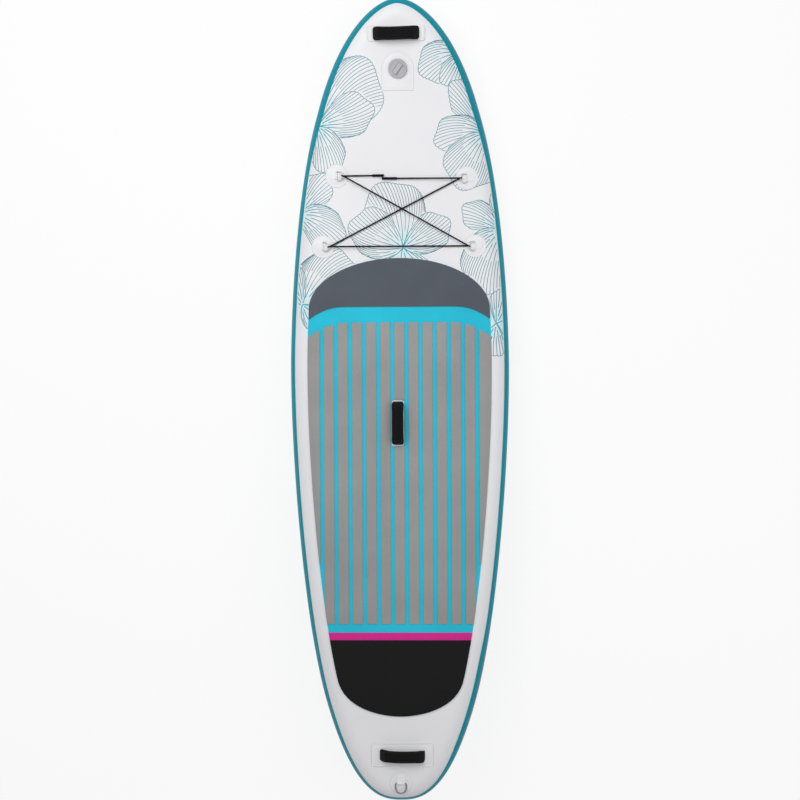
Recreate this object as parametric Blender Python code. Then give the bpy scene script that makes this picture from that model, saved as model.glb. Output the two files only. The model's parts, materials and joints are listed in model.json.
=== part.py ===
"""Inflatable stand-up paddle board, 9 ft 6 in, built piece by piece in metres.

Board frame: +Y to the nose, +X to the right, +Z up from the flat belly, with the origin amidships.
The whole board hangs on one empty, which tips it to the way it rests on a floor: on its fin tip and
on the belly under the nose.
"""

import math

import bmesh
import bpy
from mathutils import Matrix, Vector

# Clearances
FIT = 0.0003
RUN = 0.0005

# Hull
LENGTH = 2.896
BEAM = 0.803
THICKNESS = 0.150
SKIN = 0.0012
TAPE = 0.0010
TAPE_EDGE = 41.0
SEAM_EDGE = 20.0
NOSE_LIFT = 0.170
NOSE_LIFT_START = 0.250
NOSE_LIFT_POWER = 2.2

# The plan outline as Bezier points, in shares of half the beam and half the length, nose to tail
OUTLINE = (
    ((0.0, 1.0), (0.160, 1.0), (0.512, 0.945), (0.730, 0.734)),
    ((0.730, 0.734), (0.972, 0.522), (1.0, 0.182), (1.0, 0.097)),
    ((1.0, 0.097), (1.0, -0.129), (0.893, -0.548), (0.680, -0.753)),
    ((0.680, -0.753), (0.435, -0.988), (0.191, -1.0), (0.0, -1.0)),
)
OUTLINE_STEPS = (8, 6, 7, 9)
RAIL_ANGLES = (90.0, 66.0, TAPE_EDGE, SEAM_EDGE, 0.0)

# Deck pad
PAD_MARGIN = 0.067
PAD_BASE = 0.0020
PAD_TOP = 0.0030
PAD_NOSE = 0.5375
PAD_SHOULDER = 0.351
PAD_REAR = -1.125
PAD_CORNER = -0.980
FRONT_PANEL_REAR = 0.362
PLANK_FRONT = 0.305
PLANK_REAR = -0.789
GROOVE = 0.0145
PLANKS_EACH_SIDE = 6
OUTER_PLANK = 0.04565
STRIPE_FRONT = -0.8204
STRIPE_REAR = -0.8477
PANEL_DROOP = 0.045
PANEL_DROOP_FROM = 0.205
PLANK_DROOP = 0.052
PLANK_DROOP_FROM = 0.190

# Carry handles: each grip's length, its padding beside the strap, and its arch's height
STRAP_WIDTH = 0.034
CENTRE_HANDLE_AT = (-0.006, -0.060)
CENTRE_GRIP = (0.159, 0.0040, 0.036)
CENTRE_PATCH_MARGIN = 0.0050
NOSE_HANDLE_AT = (-0.0044, 1.3165)
NOSE_GRIP = (0.1665, 0.0055, 0.028)
NOSE_PATCH = (0.203, 0.054)
TAIL_HANDLE_AT = (0.0055, -1.265)
TAIL_GRIP = (0.1655, 0.0045, 0.028)
TAIL_PATCH = (0.225, 0.084)
GRIP_THICKNESS = 0.011
STRAP_THICKNESS = 0.0018
HANDLE_PATCH_THICKNESS = 0.0036
STRAP_TAB = 0.010
STRAP_INSET = 0.002
PATCH_CORNER = 0.010
GRIP_CORNER = 0.0046

# Lashing: each row's half spread, its place along the board and its set to the right
RING_WIRE = 0.0020
RING_LENGTH = 0.029
RING_WIDTH = 0.036
FRONT_RINGS = (0.234, 0.8255, 0.0115)
REAR_RINGS = (0.275, 0.5795, 0.0)
ANCHOR_RADIUS = 0.040
ANCHOR_SHEET = 0.0010
ANCHOR_LOOP = 0.022
ANCHOR_WALL = 0.0014
ANCHOR_TAIL = 0.026
ANCHOR_LAP = 0.003
CORD_RADIUS = 0.00275
KNOT_RADIUS = 0.0048
KNOT_LEFT = (-0.0941, -0.0519)
KNOT_RIGHT = (-0.0605, -0.0052)
CORD_END = 0.006
CORD_RUN_OUT = 0.004

# Leash ring
LEASH_RING_AT = -1.3685
LEASH_WIRE = 0.00225
LEASH_LENGTH = 0.040
LEASH_WIDTH = 0.043
LEASH_LOOP = 0.028

# Valve
VALVE_AT = 1.1994
VALVE_PATCH = (0.112, 0.1297)
VALVE_PATCH_THICKNESS = 0.0012
NECK_RADIUS = 0.0217
BORE_RADIUS = 0.0175
FLANGE_RADIUS = 0.0310
FLANGE_THICKNESS = 0.0030
NECK_DEPTH = 0.032
SEAT_RADIUS = 0.0125
SEAT_THICKNESS = 0.0030
NUT_RADIUS = 0.0300
NUT_THICKNESS = 0.0070
HUB_RADIUS = 0.0050
STEM_RADIUS = 0.0028
BUTTON_RADIUS = 0.0080
BUTTON_THICKNESS = 0.0030
BUTTON_DROP = 0.0040
HUB_HEIGHT = 0.0060
HUB_RISE = 0.0020
RIB_WIDTH = 0.0020
RIB_ROOT = 0.0010
SEAL_THICKNESS = 0.0025
SEAL_LAP = 0.0030
SEAL_PLATE = 0.0020
SEAL_PLATE_LAP = 0.0010
SPRING_RADIUS = 0.0046
SPRING_WIRE = 0.0006
SPRING_TURNS = 4
SPRING_GAP = 0.0009
GASKET_INSET = (0.0050, 0.0020)
GASKET_THICKNESS = 0.0018
STEM_TRAVEL = 0.0060
CAP_RADIUS = 0.0335
CAP_THICKNESS = 0.0065
CAP_BAR = (0.046, 0.017, 0.0050)
CAP_BAR_TURN = 53.0
CAP_SKIRT = 0.0021
CAP_EDGE = 0.0015
CAP_BAR_CORNER = 0.0030

# Fin and fin box
BOX_AT = -1.165
BOX_SIZE = (0.030, 0.262, 0.024)
BOX_FLANGE = (0.096, 0.312, 0.0025)
SLOT_WIDTH = 0.0098
SLOT_LENGTH = 0.240
SLOT_DEPTH = 0.0195
CHANNEL_WIDTH = 0.0150
CHANNEL_HEIGHT = 0.0045
CHANNEL_DEPTH = 0.0080
FIN_DEPTH = 0.200
FIN_CHORD = 0.165
FIN_THICKNESS = 0.0088
FIN_FRONT = -1.098
FIN_TAB = 0.0170
SCREW_RADIUS = 0.0020
PLATE_SIZE = (0.0138, 0.0120, 0.0030)
PIN_RADIUS = 0.0018
PIN_LENGTH = 0.0140
BOX_FLANGE_CORNER = 0.040
FIN_SWEEP = 0.165
FIN_RAKE = 0.012
FIN_BELLY = 0.040
FIN_TIP_DRAW = 0.030
FIN_TIP_CHORD = 0.016
TAB_INSET = (0.020, 0.004)
PIN_FROM_TAB_END = 0.012
LUG = (0.036, 0.0060)
LUG_BACK = 0.0060
SCREW_AHEAD = 0.0065
SCREW_HEAD = (0.0042, 0.0030)
DRIVER_SLOT = (0.0012, 0.0012)
ENTRY_LENGTH = 0.014

MID_HEIGHT = THICKNESS / 2
SKIN_RADIUS = THICKNESS / 2
TAPE_RADIUS = SKIN_RADIUS + FIT + TAPE


def material(name, colour, roughness, metallic=0.0):
    """A Principled material, made once and then shared."""
    found = bpy.data.materials.get(name)
    if found:
        return found
    made = bpy.data.materials.new(name)
    made.use_nodes = True
    shader = made.node_tree.nodes["Principled BSDF"]
    shader.inputs["Base Color"].default_value = (*colour, 1.0)
    shader.inputs["Roughness"].default_value = roughness
    shader.inputs["Metallic"].default_value = metallic
    return made


WHITE_PVC = ("white_pvc", (0.78, 0.78, 0.80), 0.45)
TEAL_PVC = ("teal_pvc", (0.03, 0.27, 0.32), 0.45)
CYAN_FOAM = ("cyan_foam", (0.03, 0.52, 0.70), 0.85)
GREY_FOAM = ("grey_foam", (0.32, 0.31, 0.31), 0.85)
CHARCOAL_FOAM = ("charcoal_foam", (0.10, 0.12, 0.14), 0.85)
MAGENTA_FOAM = ("magenta_foam", (0.60, 0.03, 0.24), 0.85)
BLACK_FOAM = ("black_foam", (0.012, 0.012, 0.012), 0.85)
NEOPRENE = ("black_neoprene", (0.010, 0.010, 0.010), 0.9)
WEBBING = ("black_webbing", (0.015, 0.015, 0.016), 0.8)
GREY_PLASTIC = ("grey_plastic", (0.38, 0.37, 0.40), 0.5)
STEEL = ("stainless_steel", (0.60, 0.60, 0.60), 0.25, 1.0)
RUBBER = ("black_rubber", (0.02, 0.02, 0.02), 0.8)
CORD = ("black_cord", (0.012, 0.012, 0.012), 0.7)
FIN_PLASTIC = ("fin_plastic", (0.015, 0.016, 0.018), 0.35)
CORE = ("drop_stitch", (0.80, 0.78, 0.70), 0.9)
BRASS = ("brass", (0.70, 0.50, 0.20), 0.35, 1.0)


def finish(name, bm, finish_of, parent=None, smooth=40.0):
    """Turns a bmesh into a named object with outward faces and one material."""
    bmesh.ops.remove_doubles(bm, verts=bm.verts, dist=1e-6)
    bmesh.ops.recalc_face_normals(bm, faces=bm.faces)
    mesh = bpy.data.meshes.new(name)
    bm.to_mesh(mesh)
    bm.free()
    mesh.shade_smooth()
    mesh.set_sharp_from_angle(angle=math.radians(smooth))
    made = bpy.data.objects.new(name, mesh)
    bpy.context.scene.collection.objects.link(made)
    made.data.materials.append(material(*finish_of))
    made.parent = parent
    return made


def empty(name, matrix, parent):
    """A named frame that pieces hang on."""
    made = bpy.data.objects.new(name, None)
    made.empty_display_size = 0.03
    bpy.context.scene.collection.objects.link(made)
    made.parent = parent
    made.matrix_local = matrix
    return made


def combine(target, tool, operation="DIFFERENCE"):
    """Cuts the tool from the target, or joins it on, and removes the tool."""
    modifier = target.modifiers.new("combine", "BOOLEAN")
    modifier.operation = operation
    modifier.object = tool
    bpy.context.view_layer.update()
    graph = bpy.context.evaluated_depsgraph_get()
    mesh = bpy.data.meshes.new_from_object(target.evaluated_get(graph))
    target.modifiers.clear()
    target.data = mesh
    bpy.data.objects.remove(tool)
    return target


def loft(loops, closed_path=False):
    """A bmesh skinned over closed loops of points; an open path has its first and last loops filled."""
    bm = bmesh.new()
    rows = [[bm.verts.new(point) for point in loop] for loop in loops]
    count = len(rows[0])
    pairs = list(zip(rows, rows[1:]))
    if closed_path:
        pairs.append((rows[-1], rows[0]))
    for first, second in pairs:
        for k in range(count):
            n = (k + 1) % count
            bm.faces.new((first[k], first[n], second[n], second[k]))
    if not closed_path:
        bm.faces.new(rows[0])
        bm.faces.new(rows[-1])
    return bm


def turned(profile, steps=24):
    """A bmesh turned about Z from a closed profile of (radius, height) points."""
    loops = []
    for k in range(steps):
        angle = 2 * math.pi * k / steps
        loops.append([(r * math.cos(angle), r * math.sin(angle), z) for r, z in profile])
    return loft(loops, closed_path=True)


def rod(radius, start, end, steps=16):
    """A bmesh of a straight round rod between two points."""
    start = Vector(start)
    axis = Vector(end) - start
    turn = axis.to_track_quat("Z", "Y").to_matrix()
    ring = [(radius * math.cos(2 * math.pi * k / steps), radius * math.sin(2 * math.pi * k / steps))
            for k in range(steps)]
    return loft([[start + part * axis + turn @ Vector((x, y, 0)) for x, y in ring] for part in (0, 1)])


def block(size, centre):
    """A bmesh box of a size about a centre."""
    bm = bmesh.new()
    bmesh.ops.create_cube(bm, size=1.0, matrix=Matrix.Translation(centre) @ Matrix.Diagonal((*size, 1)))
    return bm


def rounded_rectangle(width, length, radius, steps=3):
    """Points of a rectangle with round corners, centred on the origin."""
    points = []
    for corner, (sx, sy) in enumerate(((1, 1), (-1, 1), (-1, -1), (1, -1))):
        for k in range(steps + 1):
            angle = math.radians(90 * corner + 90 * k / steps)
            x = sx * (width / 2 - radius) + radius * math.cos(angle)
            y = sy * (length / 2 - radius) + radius * math.sin(angle)
            points.append((x, y))
    return points


def nose_lift(y):
    """Height that the rocker adds to the hull at a place along the board."""
    share = max(y - NOSE_LIFT_START, 0.0) / (LENGTH / 2 - NOSE_LIFT_START)
    return NOSE_LIFT * share ** NOSE_LIFT_POWER


def bezier(points, t):
    """Point and direction on a cubic Bezier."""
    a, b, c, d = (Vector(p) for p in points)
    s = 1 - t
    place = s ** 3 * a + 3 * s * s * t * b + 3 * s * t * t * c + t ** 3 * d
    heading = 3 * s * s * (b - a) + 6 * s * t * (c - b) + 3 * t * t * (d - c)
    return place, heading


def side_points(inset, steps=OUTLINE_STEPS):
    """Points of the right side of the plan outline, nose to tail, moved inwards, with outward normals."""
    scale = Vector((BEAM / 2, LENGTH / 2))
    found = []
    for segment, count in zip(OUTLINE, steps):
        for k in range(count + 1):
            if k == 0 and found:
                continue
            place, heading = bezier([Vector(p) * scale for p in segment], k / count)
            normal = Vector((-heading.y, heading.x)).normalized()
            normal = normal if normal.dot(Vector((1, 0))) > 0 or abs(place.x) < 1e-9 else -normal
            found.append((place, normal))
    found[0] = (found[0][0], Vector((0, 1)))
    found[-1] = (found[-1][0], Vector((0, -1)))
    return [(place - inset * normal, normal) for place, normal in found]


def deck_lines():
    """Places along the board where the deck skin's facets meet, nose to tail."""
    return [place.y for place, normal in side_points(TAPE_RADIUS)]


def deck(y, height=0.0):
    """Height in the board frame of a point above the deck skin, which is flat from line to line."""
    lines = deck_lines()
    for ahead, behind in zip(lines, lines[1:]):
        if y >= behind:
            share = (y - behind) / (ahead - behind)
            lift = nose_lift(behind) + share * (nose_lift(ahead) - nose_lift(behind))
            return THICKNESS + lift + height
    return THICKNESS + height


def rail_loop(radius, angle):
    """A closed loop of points round the hull, at one radius and angle of the rail."""
    angle = math.radians(angle)
    right = []
    for centre, normal in side_points(TAPE_RADIUS):
        place = centre + normal * radius * math.cos(angle)
        height = MID_HEIGHT + radius * math.sin(angle) + nose_lift(place.y)
        right.append(Vector((place.x, place.y, height)))
    return right + [Vector((-p.x, p.y, p.z)) for p in reversed(right[1:-1])]


def add_loops(bm, radius, angles):
    """Joined bands of the rail at one radius; returns the first and last loop of vertices."""
    rows = [[bm.verts.new(p) for p in rail_loop(radius, angle)] for angle in angles]
    for first, second in zip(rows, rows[1:]):
        join_loops(bm, first, second)
    return rows[0], rows[-1]


def join_loops(bm, first, second):
    """A ring of faces between two closed loops."""
    count = len(first)
    for k in range(count):
        n = (k + 1) % count
        bm.faces.new((first[k], first[n], second[n], second[k]))


def fill_across(bm, loop):
    """Strips across the hull between the loop's right and left points."""
    count = len(loop)
    for k in range(count // 2):
        quad = [loop[k], loop[k + 1], loop[(count - k - 1) % count], loop[(count - k) % count]]
        bm.faces.new(list(dict.fromkeys(quad)))


def skin(name, angles, finish_of, root):
    """A deck or belly skin: a flat sheet whose edge wraps round the rail."""
    bm = bmesh.new()
    outer_top, outer_edge = add_loops(bm, SKIN_RADIUS, angles)
    inner_top, inner_edge = add_loops(bm, SKIN_RADIUS - SKIN, angles)
    fill_across(bm, outer_top)
    fill_across(bm, inner_top)
    join_loops(bm, outer_edge, inner_edge)
    return finish(name, bm, finish_of, root)


def band(name, outer, inner, angles, finish_of, root):
    """A strip that runs right round the rail."""
    bm = bmesh.new()
    outer_top, outer_edge = add_loops(bm, outer, angles)
    inner_top, inner_edge = add_loops(bm, inner, angles)
    join_loops(bm, outer_top, inner_top)
    join_loops(bm, outer_edge, inner_edge)
    return finish(name, bm, finish_of, root)


def build_hull(root):
    """Core, both skins, the inner sidewall and the rail tape."""
    seam_gap = math.degrees(FIT / SKIN_RADIUS)
    core = bmesh.new()
    angles = RAIL_ANGLES + tuple(-a for a in reversed(RAIL_ANGLES[:-1]))
    top, bottom = add_loops(core, SKIN_RADIUS - SKIN - FIT, angles)
    fill_across(core, top)
    fill_across(core, bottom)
    core = finish("drop_stitch_core", core, CORE, root)
    top_angles = tuple(a for a in RAIL_ANGLES if a > SEAM_EDGE) + (SEAM_EDGE + seam_gap,)
    deck_skin = skin("deck_skin", top_angles, WHITE_PVC, root)
    skin("bottom_skin", tuple(-a for a in top_angles), TEAL_PVC, root)
    band("sidewall_inner", SKIN_RADIUS, SKIN_RADIUS - SKIN, (SEAM_EDGE, 0.0, -SEAM_EDGE), TEAL_PVC, root)
    tape_angles = (TAPE_EDGE, SEAM_EDGE, 0.0, -SEAM_EDGE, -TAPE_EDGE)
    band("rail_tape", TAPE_RADIUS, TAPE_RADIUS - TAPE, tape_angles, TEAL_PVC, root)
    valve = fitting_matrix(0.0, VALVE_AT)
    for target, radius, depth in (
        (core, NUT_RADIUS + 2 * RUN, NECK_DEPTH + SEAT_THICKNESS + STEM_TRAVEL + 6 * RUN),
        (deck_skin, NECK_RADIUS + RUN, 3 * SKIN),
    ):
        hole = finish("hole", rod(radius, (0, 0, -depth), (0, 0, 3 * SKIN), 32), RUBBER, root)
        hole.matrix_local = valve
        combine(target, hole)


def fitting_matrix(x, y, turn=0.0, reach=0.030):
    """Frame of a flat fitting laid on the hollow of the rocker, touching it a reach ahead and behind."""
    rise = deck(y + reach) - deck(y - reach)
    height = (deck(y + reach) + deck(y - reach)) / 2
    pitch = Matrix.Rotation(math.atan(rise / (2 * reach)), 4, "X")
    return Matrix.Translation((x, y, height)) @ pitch @ Matrix.Rotation(math.radians(turn), 4, "Z")


def plate(name, outline, low, high, finish_of, root, holes=()):
    """A sheet of any outline laid on the deck, following its rocker."""
    bm = bmesh.new()
    face = bm.faces.new([bm.verts.new((x, y, low)) for x, y in outline])
    lifted = bmesh.ops.extrude_face_region(bm, geom=[face])
    moved = [v for v in lifted["geom"] if isinstance(v, bmesh.types.BMVert)]
    bmesh.ops.translate(bm, verts=moved, vec=(0, 0, high - low))
    front = max(y for x, y in outline)
    rear = min(y for x, y in outline)
    for y in deck_lines():
        if not rear < y < front or y < NOSE_LIFT_START - 0.25:
            continue
        geometry = bm.verts[:] + bm.edges[:] + bm.faces[:]
        bmesh.ops.bisect_plane(bm, geom=geometry, plane_co=(0, y, 0), plane_no=(0, 1, 0))
    made = finish(name, bm, finish_of, root)
    for hole in holes:
        combine(made, finish("hole", hole, RUBBER, root))
    for vertex in made.data.vertices:
        vertex.co.z = deck(vertex.co.y, vertex.co.z)
    return made


def pad_edge(y):
    """Half width of the pad where its side follows the hull's outline."""
    sides = [place for place, normal in side_points(PAD_MARGIN)]
    for ahead, behind in zip(sides, sides[1:]):
        if behind.y <= y <= ahead.y:
            share = (ahead.y - y) / (ahead.y - behind.y)
            return ahead.x + share * (behind.x - ahead.x)
    return 0.0


def droop(x, flat, depth, start):
    """A cross line of the pad: straight amidships, falling back towards the sides."""
    reach = max(abs(x) - start, 0.0) / (pad_edge(flat) - start)
    return flat - depth * reach ** 2


def mirrored(right):
    """A closed outline from the points of its right half, front to rear."""
    return right + [(-x, y) for x, y in reversed(right) if abs(x) > 1e-6]


def pad_nose_arc(steps=8):
    """Right half of the pad's round front."""
    half = pad_edge(PAD_SHOULDER)
    rise = PAD_NOSE - PAD_SHOULDER
    angles = [math.pi / 2 * k / steps for k in range(steps + 1)]
    return [(half * math.sin(a), PAD_SHOULDER + rise * math.cos(a)) for a in angles]


def pad_tail_arc(steps=6):
    """Right half of the pad's round rear."""
    corner = (pad_edge(PAD_CORNER), PAD_CORNER)
    width = corner[0]
    points = (corner, (width * 0.91, PAD_REAR + 0.020), (width * 0.25, PAD_REAR), (0.0, PAD_REAR))
    found = [bezier(points, k / steps)[0] for k in range(1, steps + 1)]
    return [(p.x, p.y) for p in found]


def side_run(front, rear, steps):
    """Points down the pad's right side."""
    heights = [front + (rear - front) * k / steps for k in range(steps + 1)]
    return [(pad_edge(y), y) for y in heights]


def plank_outline(inner, outer, steps=12):
    """Outline of one grey plank between two lines, cut to the pad's side and to its drooping front."""
    rear = PLANK_REAR
    front = [(x, droop(x, PLANK_FRONT, PLANK_DROOP, PLANK_DROOP_FROM))
             for x in (inner, (inner + outer) / 2, min(outer, pad_edge(PLANK_FRONT) - RUN))]
    top = front[-1][1]
    down = []
    for k in range(1, steps + 1):
        y = top + (rear - top) * k / steps
        x = min(outer, pad_edge(y))
        if x - inner < GROOVE / 4:
            break
        down.append((x, y))
    points = front + down
    if down[-1][0] < outer or outer > pad_edge(rear):
        points.append((inner, down[-1][1]))
    else:
        points = front + [(outer, rear), (inner, rear)]
    return points


def centre_patch():
    """Length and width of the centre handle's patch."""
    return CENTRE_GRIP[0] + 0.006, STRAP_WIDTH + 2 * CENTRE_PATCH_MARGIN


def build_pad(root):
    """Foam pad: a cyan base sheet and the coloured pieces bonded on it."""
    cutout_length = centre_patch()[0] + 4 * RUN
    cutout = rounded_rectangle(centre_patch()[1] + 4 * RUN, cutout_length, 0.008)
    shift, along = CENTRE_HANDLE_AT
    hole = loft([[(x + shift, y + along, z) for x, y in cutout] for z in (-0.01, 0.02)])
    outline = mirrored(pad_nose_arc() + side_run(PAD_SHOULDER - 0.05, PAD_CORNER, 12) + pad_tail_arc())
    plate("pad_base", outline, FIT, FIT + PAD_BASE, CYAN_FOAM, root, [hole])
    low = FIT + PAD_BASE + FIT
    high = low + PAD_TOP
    across = [pad_edge(FRONT_PANEL_REAR) * k / 5 for k in range(5, -1, -1)]
    panel_rear = [(x, droop(x, FRONT_PANEL_REAR, PANEL_DROOP, PANEL_DROOP_FROM)) for x in across]
    plate("pad_front", mirrored(pad_nose_arc() + panel_rear[:-1] + [(0.0, panel_rear[-1][1])]),
          low, high, CHARCOAL_FOAM, root)
    number = 0
    pitch = (BEAM / 2 - PAD_MARGIN - OUTER_PLANK - GROOVE / 2) / (PLANKS_EACH_SIDE - 0.5)
    half = (pitch - GROOVE) / 2
    for place in range(-PLANKS_EACH_SIDE, PLANKS_EACH_SIDE + 1):
        number += 1
        name = f"pad_plank_{number:02d}"
        if place == 0:
            front_end = along + cutout_length / 2
            rear_end = along - cutout_length / 2
            front = [(half, PLANK_FRONT), (half, front_end), (-half, front_end), (-half, PLANK_FRONT)]
            rear = [(half, rear_end), (half, PLANK_REAR), (-half, PLANK_REAR), (-half, rear_end)]
            plate(name + "_front", front, low, high, GREY_FOAM, root)
            plate(name + "_rear", rear, low, high, GREY_FOAM, root)
            continue
        side = 1 if place > 0 else -1
        inner = abs(place) * pitch - half
        last = abs(place) == PLANKS_EACH_SIDE
        outer = pad_edge(PLANK_FRONT - PLANK_DROOP) if last else inner + 2 * half
        points = [(side * x, y) for x, y in plank_outline(inner, outer)]
        plate(name, points, low, high, GREY_FOAM, root)
    plate("pad_stripe", mirrored(side_run(STRIPE_FRONT, STRIPE_REAR, 1)), low, high, MAGENTA_FOAM, root)
    tail = side_run(STRIPE_REAR - FIT, PAD_CORNER, 4) + pad_tail_arc()
    plate("pad_tail", mirrored(tail), low, high, BLACK_FOAM, root)


def strap_line(reach, height, low, base, outward):
    """Centre line of a strap with its mitres: tab, slit, arch, slit, tab, with X along it."""
    shares = (-1.0, -0.93, -0.84, -0.70, -0.48, -0.24, 0.0, 0.24, 0.48, 0.70, 0.84, 0.93, 1.0)
    tab = STRAP_TAB if outward else -STRAP_TAB
    line = [(-reach - tab, low), (-reach, low)]
    line += [(share * reach, base + height * (1 - share ** 6)) for share in shares]
    line += [(reach, low), (reach + tab, low)]
    found = []
    for k, here in enumerate(line):
        here = Vector(here)
        first = here - Vector(line[k - 1]) if k else Vector(line[1]) - here
        second = Vector(line[k + 1]) - here if k < len(line) - 1 else first
        first.normalize()
        second.normalize()
        across = Vector((-first.y - second.y, first.x + second.x)).normalized()
        found.append((here, across / across.dot(Vector((-second.y, second.x)))))
    return found


def handle_loops(line, section, drop=0.0):
    """Loops of a section of (across, thickness) points carried along a strap's line."""
    loops = []
    for here, mitre in line:
        loops.append([(here.x + v * mitre.x, u, here.y - drop + v * mitre.y) for u, v in section])
    return loops


def build_handle(name, matrix, grip, patch, outward, root):
    """Grip, strap and anchor patch. The strap's end tabs lie in pockets under the patch."""
    length, padding, height = grip
    width = STRAP_WIDTH + 2 * padding
    base = FIT + HANDLE_PATCH_THICKNESS
    reach = length / 2 - STRAP_INSET
    frame = empty(name + "_frame", matrix, root)
    hinge = empty(name + "_hinge", Matrix.Translation((0, 0, base)), frame)

    points = rounded_rectangle(patch[0], patch[1], PATCH_CORNER)
    sheet = finish(name + "_patch", loft([[(x, y, z) for x, y in points] for z in (FIT, base)]),
                   WHITE_PVC, frame)
    room = STRAP_THICKNESS + 2 * FIT
    gap = STRAP_WIDTH + 2 * RUN
    for side in (-1, 1):
        tab = STRAP_TAB + RUN + STRAP_THICKNESS / 2 + RUN
        middle = tab / 2 - STRAP_THICKNESS / 2 - RUN
        middle = side * (reach + (middle if outward else -middle))
        pocket = block((tab, gap, room + 0.001), (middle, 0, FIT + room / 2 - 0.0005))
        slit = block((STRAP_THICKNESS + 2 * RUN, gap, 0.02), (side * reach, 0, base))
        combine(sheet, finish("pocket", pocket, RUBBER, frame))
        combine(sheet, finish("slit", slit, RUBBER, frame))

    line = strap_line(reach, height, 2 * FIT + STRAP_THICKNESS / 2, base, outward)
    half = STRAP_THICKNESS / 2
    side = STRAP_WIDTH / 2
    section = [(-side, half), (side, half), (side, -half), (-side, -half)]
    finish(name + "_strap", loft(handle_loops(line, section)), WEBBING, frame)

    outer = rounded_rectangle(width, GRIP_THICKNESS, GRIP_CORNER, 2)
    inner = rounded_rectangle(STRAP_WIDTH + 2 * RUN, STRAP_THICKNESS + 2 * RUN, 0.0008, 1)
    sleeve = finish(name + "_grip", loft(handle_loops(line[4:-4], outer, base)), NEOPRENE, hinge)
    bore = loft(handle_loops(line[3:-3], inner, base))
    combine(sleeve, finish("bore", bore, RUBBER, hinge))


def ring_path(length, width, wire, corner=0.004):
    """Centre line of a D ring: a bar on the Y axis and a bow that reaches out along +X."""
    half = width / 2 - wire
    reach = length - 2 * wire
    leg = reach - half
    points = []
    for k in range(9):
        angle = math.radians(-90 + 180 * k / 8)
        points.append((leg + half * math.cos(angle), half * math.sin(angle)))
    for sy in (1, -1):
        for k in range(3):
            angle = math.radians(90 + 45 * k) if sy > 0 else math.radians(180 + 45 * k)
            y = sy * (half - corner) + corner * math.sin(angle)
            points.append((corner + corner * math.cos(angle), y))
    return points


def wire(name, points, radius, finish_of, parent, cyclic=False, resolution=2):
    """A round tube along points."""
    curve = bpy.data.curves.new(name, "CURVE")
    curve.dimensions = "3D"
    curve.bevel_depth = radius
    curve.bevel_resolution = resolution
    curve.use_fill_caps = not cyclic
    spline = curve.splines.new("POLY")
    spline.points.add(len(points) - 1)
    for target, point in zip(spline.points, points):
        target.co = (*point, 1.0)
    spline.use_cyclic_u = cyclic
    made = bpy.data.objects.new(name, curve)
    bpy.context.scene.collection.objects.link(made)
    made.data.materials.append(material(*finish_of))
    made.parent = parent
    return made


def build_ring(name, matrix, size, loop, rise, root):
    """A D ring and its anchor: a round patch with a strip that wraps the ring's bar."""
    length, width, radius = size
    frame = empty(name + "_frame", matrix, root)
    sheet_top = FIT + ANCHOR_SHEET
    bar = sheet_top + FIT + radius
    anchor = turned([(0.0, FIT), (ANCHOR_RADIUS, FIT), (ANCHOR_RADIUS, sheet_top), (0.0, sheet_top)], 24)
    anchor = finish(name + "_anchor", anchor, WHITE_PVC, frame)
    wall = radius + FIT + ANCHOR_WALL
    profile = [(-ANCHOR_TAIL, FIT + ANCHOR_SHEET / 2), (-ANCHOR_TAIL, sheet_top + ANCHOR_WALL)]
    profile += [(-wall - ANCHOR_LAP, sheet_top + ANCHOR_WALL)]
    for k in range(7):
        angle = math.radians(165 - 27.5 * k)
        profile.append((wall * math.cos(angle), bar + wall * math.sin(angle)))
    profile.append((wall, FIT + ANCHOR_SHEET / 2))
    strip = finish("strip", loft([[(x, y, z) for x, z in profile] for y in (-loop / 2, loop / 2)]),
                   WHITE_PVC, frame)
    combine(anchor, strip, "UNION")
    bore = rod(radius + FIT, (0, -width, bar), (0, width, bar), 12)
    combine(anchor, finish("bore", bore, RUBBER, frame))
    hinge = empty(name + "_hinge", Matrix.Translation((0, 0, bar)) @ Matrix.Rotation(-rise, 4, "Y"), frame)
    points = [(x, y, 0.0) for x, y in ring_path(length, width, radius)]
    wire(name, points, radius, STEEL, hinge, cyclic=True)
    return hinge


def lashing_rise():
    """Angle of a lashing ring whose bow rests on the cord that passes below it."""
    bow = ANCHOR_SHEET + 2 * CORD_RADIUS + 3 * RUN + RING_WIRE
    bar = ANCHOR_SHEET + FIT + RING_WIRE
    return math.asin((bow - bar) / (RING_LENGTH - 2 * RING_WIRE))


def hook_points(matrix, arriving, leaving, over):
    """Cord points round a ring's bow, from above the wire to below it or the other way about."""
    rise = lashing_rise()
    reach = RING_LENGTH - 2 * RING_WIRE
    bar = FIT + ANCHOR_SHEET + FIT + RING_WIRE
    centre = matrix @ Vector((reach * math.cos(rise), 0, bar + reach * math.sin(rise)))
    up = matrix.to_3x3() @ Vector((0, 0, 1))
    clear = RING_WIRE + CORD_RADIUS + 2 * RUN
    ways = []
    for target in (arriving, leaving):
        away = Vector(target) - centre
        away -= away.dot(up) * up
        ways.append(away.normalized())
    found = []
    for k in range(7):
        angle = math.radians(90 + 30 * k)
        away = ways[0].lerp(ways[1], k / 6).normalized()
        lift = math.sin(angle) if over else -math.sin(angle)
        found.append(centre + away * clear * math.cos(angle) + up * clear * lift)
    return found


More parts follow.
